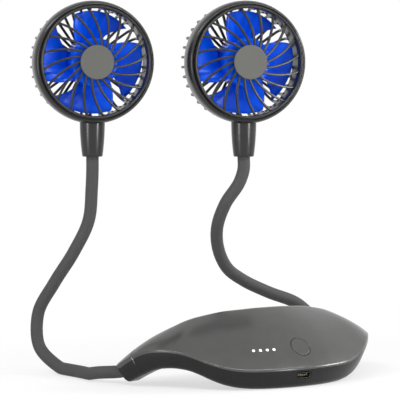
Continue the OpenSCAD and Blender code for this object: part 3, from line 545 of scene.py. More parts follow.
@cache
def moulded_group() -> bpy.types.ShaderNodeTree:
    """Moulded plastic: a fine grain, slow drifts of tone and gloss, and faint rubbed specks."""
    w, given, outlet = new_group(
        Group.MOULDED,
        {"Colour": (0.1, 0.1, 0.1, 1), "Roughness": 0.4, "Drift": 0.06, "Grain Scale": 2600.0,
         "Grain Height": 0.5},
        ("Colour", "Roughness", "Height"))
    slow = w.noise(w.here, 26.0, 2.0)
    patch = w.noise(w.here, 140.0, 4.0, 0.6)
    grain = w.noise(w.here, given["Grain Scale"], 2.0, 0.6)
    speck = w.spread(w.noise(w.here, 900.0, 2.0), 0.68, 0.8, 0.0, 1.0)
    tone = w.maths("ADD", w.around(slow, given["Drift"]), w.around(patch, given["Drift"]))
    shaded = w.scaled(given["Colour"], w.maths("ADD", 1.0, w.maths("MULTIPLY", tone, 4.0)))
    rough = w.maths("ADD", given["Roughness"], w.around(patch, 0.16))
    w.feed(outlet, {
        "Colour": w.blend(w.maths("MULTIPLY", speck, 0.012), shaded, (0.5, 0.5, 0.5, 1)),
        "Roughness": w.maths("ADD", rough, w.maths("MULTIPLY", speck, 0.02), clamp=True),
        "Height": w.maths("MULTIPLY", grain, given["Grain Height"])})
    return w.tree


@cache
def dust_group() -> bpy.types.ShaderNodeTree:
    """A thin film of dust on what faces up, thicker in patches."""
    w, given, outlet = new_group(Group.DUST, {"Amount": 0.05}, ("Mask",))
    up = w.node("SeparateXYZ", {0: w.node("NewGeometry").outputs["Normal"]}).outputs["Z"]
    facing = w.spread(up, -0.1, 1.0, 0.15, 1.0)
    patchy = w.spread(w.noise(w.here, 75.0, 5.0, 0.65), 0.35, 0.75, 0.2, 1.0)
    w.feed(outlet, {"Mask": w.maths("MULTIPLY", w.maths("MULTIPLY", facing, patchy), given["Amount"])})
    return w.tree


@cache
def drawn_group() -> bpy.types.ShaderNodeTree:
    """Drawn or brushed metal: fine lines across one direction and a slow drift of gloss."""
    w, given, outlet = new_group(
        Group.DRAWN, {"Colour": (0.6, 0.6, 0.6, 1), "Roughness": 0.3, "Line Scale": 900.0},
        ("Colour", "Roughness", "Height"))
    line = w.noise(w.stretched((1.0, 1.0, 14.0)), given["Line Scale"], 3.0, 0.7)
    lift = w.maths("ADD", 0.86, w.maths("MULTIPLY", w.noise(w.here, 160.0, 3.0), 0.28))
    w.feed(outlet, {
        "Colour": w.scaled(given["Colour"], lift),
        "Roughness": w.maths("ADD", given["Roughness"], w.around(line, 0.3), clamp=True),
        "Height": line})
    return w.tree


def begin(name: str) -> tuple[Material, Wiring, bpy.types.Node]:
    """A new material with its wiring and its shader."""
    material = bpy.data.materials.new(name)
    material.use_nodes = True
    shader = material.node_tree.nodes["Principled BSDF"]
    return material, Wiring(material.node_tree), shader


@dataclass(frozen=True)
class Moulded:
    """A moulded plastic or a soft rubber skin."""

    name: str
    colour: Triple
    roughness: float = 0.42
    drift: float = 0.05
    grain_scale: float = 2600.0
    grain_depth: float = 0.04
    dust: float = 0.02
    coat: float = 0.0
    coat_roughness: float = 0.15
    specular: float = 0.5

    def build(self) -> Material:
        """Make the material, ready for any piece."""
        material, w, shader = begin(self.name)
        base = w.node("Group", node_tree=moulded_group())
        w.feed(base, {"Colour": (*self.colour, 1), "Roughness": self.roughness, "Drift": self.drift,
                      "Grain Scale": self.grain_scale})
        dust = w.node("Group", node_tree=dust_group())
        w.feed(dust, {"Amount": self.dust})
        film = dust.outputs[0]
        rough = w.maths("ADD", base.outputs["Roughness"], w.maths("MULTIPLY", film, 1.2), clamp=True)
        w.feed(shader, {
            "Base Color": w.blend(film, base.outputs["Colour"], (0.55, 0.54, 0.52, 1)),
            "Roughness": rough,
            "Normal": w.bump(base.outputs["Height"], self.grain_depth, 0.35),
            "Coat Weight": self.coat, "Coat Roughness": self.coat_roughness,
            "Specular IOR Level": self.specular})
        return material


@dataclass(frozen=True)
class Metal:
    """A drawn, turned or plated metal."""

    name: str
    colour: Triple
    roughness: float = 0.3
    line_scale: float = 900.0

    def build(self) -> Material:
        """Make the material, ready for any piece."""
        material, w, shader = begin(self.name)
        base = w.node("Group", node_tree=drawn_group())
        w.feed(base, {"Colour": (*self.colour, 1), "Roughness": self.roughness,
                      "Line Scale": self.line_scale})
        w.feed(shader, {
            "Base Color": base.outputs["Colour"], "Roughness": base.outputs["Roughness"],
            "Normal": w.bump(base.outputs["Height"], 0.02, 0.25), "Metallic": 1.0})
        return material


@dataclass(frozen=True)
class Glow:
    """A frosted lens lit from behind, its glow mottled by a fine noise."""

    name: str
    colour: Triple = (0.86, 0.88, 0.9)
    strength: float = 0.9

    def build(self) -> Material:
        """Make the material for the lenses."""
        material, w, shader = begin(self.name)
        frost = w.spread(w.noise(w.here, 3200.0, 2.0), 0.3, 0.7, 0.88, 1.0)
        lit = w.scaled(self.colour, frost)
        w.feed(shader, {
            "Base Color": lit, "Emission Color": lit, "Emission Strength": self.strength,
            "Roughness": w.spread(frost, 0.88, 1.0, 0.35, 0.22)})
        return material


@dataclass(frozen=True)
class Lacquer:
    """A circuit board's solder mask over copper tracks and tinned pads."""

    name: str
    mask: Triple = (0.012, 0.085, 0.035)
    track: Triple = (0.02, 0.13, 0.05)
    pad: Triple = (0.55, 0.53, 0.48)

    def build(self) -> Material:
        """Make the material for the boards."""
        material, w, shader = begin(self.name)
        cells = w.node("TexVoronoi", {"Vector": w.here, "Scale": 420.0}, distance="MANHATTAN").outputs
        stripes = w.maths("PINGPONG", w.maths("MULTIPLY", cells["Distance"], 3.0), 0.5)
        lines = w.spread(stripes, 0.2, 0.3, 0.0, 1.0)
        pads = w.node("TexVoronoi", {"Vector": w.here, "Scale": 330.0, "Randomness": 0.4}).outputs
        dots = w.spread(pads["Distance"], 0.14, 0.17, 1.0, 0.0)
        green = w.blend(lines, (*self.mask, 1), (*self.track, 1))
        w.feed(shader, {
            "Base Color": w.blend(dots, green, (*self.pad, 1)), "Metallic": dots,
            "Roughness": w.spread(dots, 0.0, 1.0, 0.3, 0.42),
            "Normal": w.bump(w.maths("ADD", lines, dots), 0.03, 0.4)})
        return material


@dataclass(frozen=True)
class Wrap:
    """Shrink wrap on a battery cell, with faint creases."""

    name: str
    colour: Triple = (0.03, 0.13, 0.27)

    def build(self) -> Material:
        """Make the material for the cells."""
        material, w, shader = begin(self.name)
        crease = w.noise(w.stretched((0.3, 1.0, 1.0)), 500.0, 3.0, 0.7)
        w.feed(shader, {
            "Base Color": w.scaled(self.colour, w.spread(crease, 0.3, 0.7, 0.85, 1.12)),
            "Roughness": w.spread(crease, 0.3, 0.7, 0.2, 0.34),
            "Normal": w.bump(crease, 0.05, 0.4)})
        return material


class Finishes:
    """Every finish of the object, built once."""

    def __init__(self) -> None:
        """Build each finish."""
        # The housing is one grey: the cover's lighter finish is painted light on the broad face, and the
        # side's much darker finish is painted shade on the side face.
        self.cover = Moulded("cover_grey", (0.056, 0.056, 0.055), 0.2, 0.03, specular=0.4).build()
        self.side = Moulded("side_dark", (0.007, 0.007, 0.007), 0.26, 0.04, specular=0.28).build()
        self.head = Moulded("head_dark", (0.013, 0.013, 0.0126), 0.24, 0.04, specular=0.42).build()
        self.sleeve = Moulded("sleeve_grey", (0.052, 0.052, 0.052), 0.66, 0.05, 3400.0, 0.06, 0.03,
                              specular=0.25).build()
        self.cap = Moulded("cap_grey", (0.098, 0.098, 0.09), 0.55, 0.03, specular=0.25).build()
        self.blue = Moulded("fan_blue", (0.0, 0.1, 0.96), 0.22, 0.02, 2000.0, 0.015, 0.0,
                            specular=0.18).build()
        self.steel = Metal("steel", (0.6, 0.61, 0.62), 0.26).build()
        self.nickel = Metal("dark_nickel", (0.1, 0.1, 0.105), 0.3).build()
        self.motor = Metal("motor_steel", (0.5, 0.51, 0.52), 0.34, 700.0).build()
        self.white = Moulded("motor_white", (0.72, 0.72, 0.69), 0.35, 0.02, coat=0.2).build()
        self.board = Lacquer("board_green").build()
        self.black = Moulded("black_plastic", (0.012, 0.012, 0.012), 0.4, 0.05).build()
        self.lens = Glow("lens_white").build()
        self.chip = Glow("chip_yellow", (0.8, 0.66, 0.2), 0.2).build()
        self.wrap = Wrap("cell_wrap").build()
        self.wire = Moulded("wire_black", (0.014, 0.014, 0.014), 0.5, 0.05, 1800.0, 0.05).build()
        self.gold = Metal("contact_gold", (0.78, 0.55, 0.24), 0.22).build()


# The neck band


@dataclass
class BandShape:
    """The band's cross-section and its way round the neck."""

    edge_radius: float = 88.0
    half_angle: float = 73.5
    side_height: float = 11.8
    arch_height: float = 12.5
    face_width: float = 46.5
    face_slope: float = 40.0
    face_bulge: float = 2.8
    foot_width: float = 25.2
    foot_in: float = 2.8
    crown_width: float = 4.2
    crown_drop: float = 4.7
    foot_round: float = 3.7
    edge_bevel: float = 0.9
    edge_reach: float = 0.62
    seam_drop: float = 1.4
    seam_chamfer: float = 0.16
    neck_seam_share: float = 0.45
    corner_room_share: float = 0.9
    side_swell: float = 0.3
    side_pull: float = 0.27
    end_lean: float = 0.9
    ferrule_length: float = 12.0
    socket_in: float = 5.4
    socket_up: float = 5.8
    tip_dip: float = 12.0
    wall: float = 1.6
    plain_steps: int = 8
    rise: Table = (
        (0, 0), (0.2, 0), (0.35, 0.05), (0.5, 0.38), (0.65, 0.92), (0.79, 0.94), (0.91, 0.55), (1, 0.17))
    side: Table = (
        (0, 1), (0.1, 1), (0.35, 0.97), (0.5, 0.97), (0.65, 0.92), (0.8, 0.89), (0.91, 0.84), (1, 0.7))
    face: Table = (
        (0, 1), (0.1, 1), (0.35, 0.95), (0.5, 0.77), (0.65, 0.52), (0.8, 0.32), (0.91, 0.21), (1, 0.12))
    slope: Table = ((0, 1), (0.35, 1), (0.5, 0.95), (0.65, 0.78), (0.8, 0.6), (0.91, 0.5), (1, 0.45))
    foot: Table = ((0, 1), (0.35, 1), (0.5, 0.85), (0.65, 0.7), (0.8, 0.52), (1, 0.4))
    crown: Table = ((0, 1), (0.5, 1.08), (0.65, 1.15), (0.8, 1.3), (0.91, 1.7), (1, 1.9))
    drop: Table = ((0, 1), (0.65, 0.97), (0.8, 0.9), (1, 0.7))

    @property
    def centre_y(self) -> float:
        """Distance of the band's middle from the nape's origin."""
        return self.edge_radius - self.foot_in - self.foot_width / 2

    @property
    def cover_share(self) -> float:
        """Share of the way to a tip at which the covers end."""
        return 1 - self.ferrule_length / (self.edge_radius * math.radians(self.half_angle))

    def eased(self, table: Table, t: float, reach: float = 0.07) -> float:
        """A share of a table, rounded where its rows make a corner and kept at both ends."""
        def beyond(u: float) -> float:
            """The share past an end, mirrored there."""
            return 2 * share_at(table, 1) - share_at(table, 2 - u) if u > 1 else share_at(table, abs(u))

        return (beyond(t - reach) + 2 * beyond(t) + beyond(t + reach)) / 4

    def base_z(self, t: float) -> float:
        """Height of the underside."""
        return self.arch_height * self.eased(self.rise, t)

    def edge_z(self, t: float) -> float:
        """Height of the crisp edge line."""
        return self.base_z(t) + self.side_height * self.eased(self.side, t)

    def foot_ends(self, t: float) -> tuple[Vector, Vector]:
        """Outer and inner ends of the flat underside."""
        outer = self.edge_radius - self.foot_in * self.eased(self.foot, t)
        inner = self.edge_radius - self.foot_in - self.foot_width * self.eased(self.foot, t)
        return Vector((outer, self.base_z(t))), Vector((inner, self.base_z(t)))

    def face_curve(self, t: float) -> tuple[Vector, Vector, Vector]:
        """Low end, pull and high end of the broad face."""
        slope = math.radians(self.face_slope * self.eased(self.slope, t))
        size = self.face_width * self.eased(self.face, t)
        bevel = self.edge_bevel
        low = Vector((self.edge_radius - bevel * math.sin(slope), self.edge_z(t) + bevel / 2))
        high = low + size * Vector((-math.cos(slope), math.sin(slope)))
        swell = 2 * self.face_bulge * self.eased(self.face, t)
        return low, low.lerp(high, 0.5) + swell * Vector((math.sin(slope), math.cos(slope))), high

    def crown_curve(self, t: float) -> tuple[Vector, Vector, Vector]:
        """Start, pull and end of the rounded crown on the neck side."""
        _, pull, high = self.face_curve(t)
        width = self.crown_width * self.eased(self.crown, t)
        way = (high - pull).normalized()
        end = high - Vector((width, self.crown_drop * self.eased(self.drop, t)))
        return high, high + way / abs(way.x) * width, end

    def corner_run(self, t: float) -> float:
        """Reach of the foot's rounded corners, which stay short of the neck seam."""
        wall = (self.crown_curve(t)[2] - self.foot_ends(t)[1]).length
        return min(self.foot_round, self.corner_room_share * self.neck_seam_share * wall)

    def neck_seam(self, t: float) -> Vector:
        """The seam between the covers on the neck wall."""
        return self.foot_ends(t)[1].lerp(self.crown_curve(t)[2], self.neck_seam_share)

    def seam(self, t: float) -> Vector:
        """The seam between the covers on the side face."""
        return Vector((self.edge_radius, self.edge_z(t) - self.seam_drop))

    def upper(self, t: float) -> list[Vector]:
        """Outline of the upper cover, from the side seam over the top to the neck seam."""
        low, pull, high = self.face_curve(t)
        way = (pull - low).normalized()
        corner = low - way * ((self.edge_radius - low.x) / -way.x)
        corner = Vector((self.edge_radius, corner.y))
        start = corner - Vector((0, self.edge_reach))
        chamfer = self.seam_chamfer
        neck, crown_end = self.neck_seam(t), self.crown_curve(t)[2]
        up = (crown_end - neck).normalized()
        seam = self.seam(t)
        run = (crown_end - neck).length
        return [
            seam - Vector((chamfer, 0)), seam + Vector((0, chamfer)),
            *bend(start, corner, low, even(5)),
            *bend(low, pull, high, [0.008, 0.03, *even(18, 1)[:-1], 0.985, 1.0]),
            *bend(*self.crown_curve(t), even(9, 1)),
            crown_end - up * 0.5, neck + up * (run / 2), neck + up * chamfer,
            neck + Vector((chamfer, 0)),
        ]

    def lower(self, t: float) -> list[Vector]:
        """Outline of the lower cover, from the neck seam under the foot to the side seam."""
        outer, inner = self.foot_ends(t)
        neck, crown_end, seam = self.neck_seam(t), self.crown_curve(t)[2], self.seam(t)
        up = (crown_end - neck).normalized()
        reach, chamfer = self.corner_run(t), self.seam_chamfer
        inner_high = toward(inner, crown_end, reach)
        outer_high = toward(outer, seam, reach)
        swell = 2 * self.side_swell * self.eased(self.side, t)
        middle = outer_high.lerp(seam, 0.5) + swell * Vector((1, -self.side_pull)).normalized()
        return [
            neck + Vector((chamfer, 0)), neck - up * chamfer, neck.lerp(inner_high, 0.5),
            inner_high.lerp(neck, 0.1),
            *bend(inner_high, inner, toward(inner, outer, reach), even(6)),
            toward(inner, outer, reach + 0.4), toward(outer, inner, reach + 0.4),
            *bend(toward(outer, inner, reach), outer, outer_high, even(7)),
            *bend(outer_high, middle, seam - Vector((0, chamfer)), even(6, 1)),
            seam - Vector((chamfer, 0)),
        ]

    def plain(self, t: float) -> list[Vector]:
        """The whole outline with few points, for walls and plugs inside."""
        low, pull, high = self.face_curve(t)
        outer, inner = self.foot_ends(t)
        crown = self.crown_curve(t)
        reach = self.corner_run(t)
        return [
            self.seam(t), Vector((self.edge_radius, self.edge_z(t) - self.edge_bevel / 2)),
            *bend(low, pull, high, even(self.plain_steps)),
            *bend(*crown, even(self.plain_steps // 2, 1)), self.neck_seam(t),
            *bend(toward(inner, crown[2], reach), inner, toward(inner, outer, reach), even(3)),
            *bend(toward(outer, inner, reach), outer, toward(outer, self.seam(t), reach), even(3)),
        ]

    def inner_loops(self, t: float) -> tuple[list[Vector], list[Vector]]:
        """The inner faces of the upper and of the lower cover.

        Args:
            t: Share of the way to a tip.

        Returns:
            The upper cover's inner points in the outline's order, then the lower cover's.
        """
        whole = self.plain(t)
        deep = inset(whole, self.wall)
        split = 2 + len(even(self.plain_steps)) + self.plain_steps // 2
        first = whole[0] - Vector((self.wall, 0))
        last = whole[split] + Vector((self.wall, 0))
        return [first, *deep[1:split], last], [last, *deep[split + 1:], first]

    def at(self, q: float, point: Vector) -> Vector:
        """A point of the cross-section in place.

        Args:
            q: Place along the band, from -1 at the left tip to 1 at the right.
            point: Radius and height.

        Returns:
            The place in millimetres.
        """
        t = abs(q)
        middle = (self.base_z(t) + self.edge_z(t)) / 2
        lean = math.copysign(self.end_lean, q) * t * t * (point.y - middle) / point.x
        angle = math.radians(q * self.half_angle) + lean
        return Vector((point.x * math.sin(angle), self.centre_y - point.x * math.cos(angle), point.y))

    def tip_ray(self, side: Side) -> tuple[Vector, Vector]:
        """Where an arm leaves its end piece, and its direction there."""
        spot = Vector((self.edge_radius - self.socket_in, self.base_z(1) + self.socket_up))
        half, dip = math.radians(self.half_angle), math.radians(self.tip_dip)
        way = Vector((side.value * math.cos(half), math.sin(half), -math.tan(dip))).normalized()
        return self.at(side.value, spot), way

    def face_spot(self, angle: float, share: float) -> tuple[Vector, float]:
        """A spot on the broad face, and the face's tilt from level there in degrees."""
        low, pull, high = self.face_curve(abs(angle) / self.half_angle)
        spot = low.lerp(pull, share).lerp(pull.lerp(high, share), share)
        way = pull.lerp(high, share) - low.lerp(pull, share)
        return spot, math.degrees(math.atan2(way.y, -way.x))

    def on_face(self, angle: float, share: float) -> Matrix:
        """Frame of a spot on the broad face: X along the band, Y up the face, Z out of it."""
        spot, tilt = self.face_spot(angle, share)
        return place(0, self.centre_y, 0) @ turn(angle, "Z") @ place(0, -spot.x, spot.y) @ turn(tilt, "X")

    def face_height(self, angle: float, share: float, x: float, y: float) -> float:
        """How far the broad face lies above its own tangent plane, x and y away from a spot."""
        spot, _ = self.face_spot(angle, share)
        low, pull, high = self.face_curve(abs(angle) / self.half_angle)
        speed = 2 * (pull.lerp(high, share) - low.lerp(pull, share)).length
        there = angle + math.degrees(x / spot.x)
        point, _ = self.face_spot(there, share + y / speed)
        radians = math.radians(there)
        x, y = point.x * math.sin(radians), self.centre_y - point.x * math.cos(radians)
        return (self.on_face(angle, share).inverted() @ (Vector((x, y, point.y)) * MM)).z / MM


@dataclass
class Band:
    """The covers, end pieces, button, lamps and charging port."""

    shape: BandShape
    finishes: Finishes
    stations: int = 110
    post_radius: float = 2.8
    post_height: float = 8.0
    screw_hole: float = 1.25
    screw_head_hole: float = 2.25
    counterbore: float = 1.7
    button_radius: float = 6.0
    button_height: float = 2.9
    button_flange: float = 0.8
    flange_height: float = 0.7
    button_angle: float = 2.5
    button_share: float = 0.285
    button_gap: float = 0.25
    hole_chamfer: float = 0.26
    hole_depth: float = 3.4
    overrun: float = 1.0
    lamp_share: float = 0.27
    lamp_angle: float = -14.9
    lamp_pitch: float = 4.1
    lamp_radius: float = 0.85
    lamp_gap: float = 0.05
    lamp_chamfer: float = 0.1
    lamp_depth: float = 3.1
    bore_radius: float = 3.75
    bore_depth: float = 9.0
    bore_flare: float = 10.0
    flare_radius: float = 4.4
    # How far below the crisp edge the end pieces' painted shade begins.
    tone_drop: float = 0.3
    port_height: float = 7.2
    port_radius: float = 87.1385
    port_width: float = 9.0
    port_thick: float = 3.2
    port_margin: float = 0.45
    port_depth: float = 7.3
    port_sheet: float = 0.3
    port_flare: float = 1.5
    port_cut: float = 4.0
    tongue_width: float = 6.6
    tongue_thick: float = 0.7
    contact_pitch: float = 0.5
    contact_count: int = 12

    def build(self) -> None:
        """Make and dress every piece of the band."""
        self.covers()
        for side in Side:
            self.ferrule(side)
        self.button()
        self.lamps()
        self.port()

    def shell(self, outer: Callable[[float], list[Vector]], inner_index: int, name: str) -> Object:
        """One cover as a closed shell.

        Args:
            outer: Its outer outline at a share of the way to a tip.
            inner_index: Which of the inner loops is its own.
            name: The piece's name.

        Returns:
            The linked object.
        """
        shape, n, chamfer = self.shape, self.stations, self.shape.seam_chamfer
        end = shape.cover_share
        step = chamfer / (shape.edge_radius * math.radians(shape.half_angle))
        inner_end = end - 4 * step
        marks = [end, end - step, *(inner_end * (1 - 2 * i / n) for i in range(n + 1)), step - end, -end]
        rows = []
        for q in marks:
            t = abs(q)
            skin = outer(t)
            if t == end:
                whole = inset([*shape.upper(t), *shape.lower(t)[1:-1]], chamfer)
                count = len(shape.upper(t))
                skin = whole[:count] if inner_index == 0 else [*whole[count - 1:], whole[0]]
            inside = shape.inner_loops(t)[inner_index]
            rows.append([shape.at(q, p) for p in [*skin, *reversed(inside)]])
        return mesh_object(solid(rows), name)

    def post_places(self) -> list[Matrix]:
        """Frames of the cover screws, on the underside and upward."""
        found = []
        for share in (-0.75, -0.51, 0.51, 0.75):
            t = abs(share)
            outer, inner = self.shape.foot_ends(t)
            radius = (outer.x + inner.x) / 2
            found.append(place(0, self.shape.centre_y, 0) @ turn(share * self.shape.half_angle, "Z")
                         @ place(0, -radius, self.shape.base_z(t)))
        return found

    def covers(self) -> None:
        """Upper and lower cover, with the button's, lamps', port's and screws' holes."""
        upper = self.shell(self.shape.upper, 0, "upper_cover_shell")
        hole_radius = self.button_radius + self.button_gap
        cuts = [self.face_hole(self.button_angle, self.button_share, hole_radius, self.hole_chamfer, 64)]
        cuts += [self.face_hole(angle, self.lamp_share, self.lamp_radius + self.lamp_gap,
                                self.lamp_chamfer, 24) for angle in self.lamp_angles()]
        carved(upper, cuts)
        # The broad face's finish carries painted light.
        settle(upper, "band", [self.finishes.cover], "upper_cover")
        lower = self.shell(self.shape.lower, 1, "lower_cover_shell")
        carved(lower, self.spun_at_posts(self.post_outline()), "UNION")
        carved(lower, [*self.spun_at_posts(self.screw_outline()), self.port_cutter()])
        # The side face's finish carries painted shade.
        settle(lower, "band", [self.finishes.side], "lower_cover")

    def spun_at_posts(self, profile: Pairs) -> list[Form]:
        """A profile spun round each cover screw's axis."""
        return [turned(lathe(profile, 32, False), frame) for frame in self.post_places()]

    def post_outline(self) -> Outline:
        """Half the outline of a screw post, from inside the underside's wall."""
        start = self.shape.wall / 2
        return [(0, start), (self.post_radius, start), (self.post_radius, self.post_height),
                (0, self.post_height)]

    def screw_outline(self) -> Outline:
        """Half the outline of a screw's hole with its counterbore, run past both ends."""
        low, high = -self.overrun, self.post_height + self.overrun
        return [(0, low), (self.screw_head_hole, low), (self.screw_head_hole, self.counterbore),
                (self.screw_hole, self.counterbore), (self.screw_hole, high), (0, high)]

    def lamp_angles(self) -> list[float]:
        """Angles of the four lamps from the nape."""
        radius = self.shape.face_spot(self.lamp_angle, self.lamp_share)[0].x
        step = math.degrees(self.lamp_pitch / radius)
        return [self.lamp_angle + step * i / 2 for i in (-3, -1, 1, 3)]

    def face_disc(self, angle: float, share: float, rings: Sequence[tuple[float, float, bool]],
                  sides: int) -> Form:
        """A round closed shape that follows the broad face.

        Args:
            angle: Angle of its middle from the nape.
            share: Share of its middle up the face.
            rings: Radius, height, and whether the height is above the face or above the flat
                plane, for each ring from the top's middle to the bottom's.
            sides: Points of a ring.

        Returns:
            The shape in place.
        """
        shape = self.shape
        rows = []
        for radius, height, follow in rings:
            row = []
            for i in range(sides):
                a = math.tau * i / sides
                x, y = radius * math.cos(a), radius * math.sin(a)
                lift = shape.face_height(angle, share, x, y) if follow else 0
                row.append(Vector((x, y, height + lift)))
            rows.append(row)
        return turned(solid(rows), shape.on_face(angle, share))

    def face_hole(self, angle: float, share: float, radius: float, chamfer: float, sides: int) -> Form:
        """A cutter for a round hole in the broad face, with a small chamfer at its mouth."""
        rings = ((radius + 2.2 * chamfer, 1.2 * self.overrun, True), (radius + chamfer, 0.0, True),
                 (radius, -chamfer, True), (radius, -self.hole_depth, False))
        return self.face_disc(angle, share, rings, sides)

    def button(self) -> None:
        """The round button, flush with the face, with a softly rounded rim and a hidden flange."""
        r, low = self.button_radius, -self.button_height
        top = [(POINT, -0.16), (r * 0.3, -0.15), (r * 0.6, -0.1), (r * 0.8, -0.05), (r - 0.75, -0.01),
               (r - 0.35, -0.02), (r - 0.15, -0.08), (r - 0.04, -0.2), (r, -0.38)]
        rings = [(radius, height, True) for radius, height in top]
        wide, high = r + self.button_flange, low + self.flange_height
        rings += [(r, high, False), (wide, high, False), (wide, low, False), (POINT, low, False)]
        bm = self.face_disc(self.button_angle, self.button_share, rings, 72)
        obj = mesh_object(bm, "power_button_cap", 50)
        # The cap takes the cover's painted light, like the broad face.
        settle(obj, "button", [self.finishes.cover], "power_button")

    def lamps(self) -> None:
        """Four frosted lenses, each a little domed."""
        r = self.lamp_radius
        rings = [(POINT, 0.1, True), (r * 0.5, 0.08, True), (r * 0.85, 0.02, True), (r, -0.1, True),
                 (r, -self.lamp_depth, False), (POINT, -self.lamp_depth, False)]
        parts = [self.face_disc(angle, self.lamp_share, rings, 24) for angle in self.lamp_angles()]
        obj = mesh_object(joined(parts), "lamp_lens_row", 50)
        settle(obj, "band", [self.finishes.lens], "lamp_lenses")

    def ferrule(self, side: Side) -> None:
        """An end piece with a bore for its arm, its faces above the crisp edge in the cover's painted light
        and those below in the side's painted shade.
        """
        shape, k = self.shape, side.value
        start, chamfer = shape.cover_share, shape.seam_chamfer
        per_mm = 1 / (shape.edge_radius * math.radians(shape.half_angle))
        steps = [(start, chamfer), (start + chamfer * per_mm, 0.0)]
        steps += [(start + (1 - start) * u, 0.0) for u in (0.12, 0.3, 0.5, 0.7, 0.85)]
        steps += [(1 - 0.55 * per_mm, 0.0), (1 - 0.3 * per_mm, 0.05), (1 - 0.1 * per_mm, 0.2), (1.0, 0.5)]
        rows = []
        for t, depth in steps:
            whole = [*shape.upper(t)[1:-1], *shape.lower(t)[1:-1]]
            rows.append([shape.at(k * t, p) for p in (inset(whole, depth) if depth else whole)])
        obj = mesh_object(solid(rows), f"{side.label}_end_piece", 50)
        low, mouth, far = -self.bore_depth, self.overrun, self.overrun + self.bore_flare
        bore = lathe([(0, low), (self.bore_radius, low), (self.bore_radius, mouth),
                      (self.flare_radius, far), (0, far)], 40, False)
        carved(obj, [turned(bore, self.tip_frame(side))], crease=50)
        settle(obj, "band", [self.finishes.side, self.finishes.cover], f"{side.label}_ferrule")
        # The faces above the crisp edge take the cover's painted light.
        self.tone(obj)

    def tone(self, obj: Object) -> None:
        """Give the faces above the crisp edge the cover's finish with its painted light; the others keep the
        side's painted shade.
        """
        shape = self.shape
        for face in obj.data.polygons:
            x, y, z = (c / MM for c in face.center)
            ahead = shape.centre_y - y
            t = min(abs(math.degrees(math.atan2(x, ahead))) / shape.half_angle, 1.0)
            above = z > shape.edge_z(t) - self.tone_drop
            if above and math.hypot(x, ahead) > shape.crown_curve(t)[2].x + 0.2:
                face.material_index = 1

    def tip_frame(self, side: Side) -> Matrix:
        """Frame of an arm's way out of its end piece, Z along the arm."""
        point, way = self.shape.tip_ray(side)
        return Matrix.Translation(point * MM) @ way.to_track_quat("Z", "Y").to_matrix().to_4x4()

    def stadium(self, width: float, height: float, steps: int = 10) -> Outline:
        """An outline with two straight sides and two round ends."""
        r, half = height / 2, (width - height) / 2
        return [*arc(half, 0, r, -90, 90, steps), *arc(-half, 0, r, 90, 270, steps)]

    def port_rows(self, steps: Pairs) -> list[list[Vector]]:
        """Stadium rings at the charging port, by growth of the outline and depth from its mouth."""
        rows = []
        for grow, depth in steps:
            outline = self.stadium(self.port_width + 2 * grow, self.port_thick + 2 * grow)
            y = self.shape.centre_y - self.port_radius + depth
            rows.append([Vector((x, y, self.port_height + z)) for x, z in outline])
        return rows

    def port_cutter(self) -> Form:
        """A cutter for the port's cut in the cover, with a small chamfer at its mouth."""
        margin, flare = self.port_margin, self.port_flare
        return solid(self.port_rows([(margin + flare, -flare), (margin, 0.0), (margin, self.port_cut)]))

    def port(self) -> None:
        """The port's drawn shell with a rolled lip, and its tongue with contacts."""
        sheet, deep = self.port_sheet, self.port_depth
        steps = [(-sheet, deep - sheet), (-sheet, sheet / 2), (-sheet * 0.8, sheet / 10), (-sheet / 2, 0.0),
                 (-sheet * 0.2, sheet / 10), (0.0, sheet / 2), (0.0, deep), (-self.port_flare, deep)]
        shell = mesh_object(solid(self.port_rows(steps)), "usb_port_shell", 40)
        settle(shell, "band", [self.finishes.nickel], "usb_shell")
        y = self.shape.centre_y - self.port_radius
        tongue = self.bar((self.tongue_width, self.tongue_thick), (y + 0.8, y + 6.9), 0.18)
        first = self.contact_pitch * (1 - self.contact_count) / 2
        high = self.tongue_thick / 2 + 0.01
        contacts = [turned(self.bar((0.28, 0.1), (y + 1.0, y + 4.6), 0.03),
                           place(first + self.contact_pitch * i, 0, z))
                    for i in range(self.contact_count) for z in (high, -high)]
        count = len(tongue.faces)
        obj = mesh_object(joined([tongue, *contacts]), "usb_port_tongue", 40)
        settle(obj, "band", [self.finishes.black, self.finishes.gold], "usb_tongue")
        for face in obj.data.polygons[count:]:
            face.material_index = 1

    def bar(self, size: tuple[float, float], span: tuple[float, float], edge: float) -> Form:
        """A small bar in the port with bevelled edges."""
        middle = Vector((0, (span[0] + span[1]) / 2, self.port_height)) * MM
        bm = bmesh.new()
        bmesh.ops.create_cube(bm, size=1.0)
        bmesh.ops.scale(bm, vec=Vector((size[0], span[1] - span[0], size[1])) * MM, verts=bm.verts)
        bmesh.ops.translate(bm, vec=middle, verts=bm.verts)
        bmesh.ops.bevel(bm, geom=bm.edges[:], offset=edge * MM, segments=2, affect="EDGES",
                        profile=0.5, material=-1)
        return bm


# The flexible arms


@dataclass
class HeadPlace:
    """Where a fan head stands and which way it faces."""

    side: Side
    rise: float = 184.5
    spacing: float = 89.0
    row_turn: float = 32.0
    head_turn: float = 16.0
    row_x: float = -38.0
    row_y: float = 71.6
    radius: float = 36.0
    socket_length: float = 19.4
    insert: float = 12.5

    @property
    def middle(self) -> Vector:
        """The head's middle."""
        k, row = self.side.value * self.spacing / 2, math.radians(self.row_turn)
        return Vector((self.row_x + k * math.cos(row), self.row_y - k * math.sin(row), self.rise))

    @property
    def mouth(self) -> Vector:
        """The middle of the socket's lower opening."""
        return self.middle - Vector((0, 0, self.radius + self.socket_length))

    @property
    def frame(self) -> Matrix:
        """The head's frame: X across, Y up, Z forward along the fan's axis."""
        return Matrix.Translation(self.middle * MM) @ turn(-self.head_turn, "Z") @ turn(90, "X")


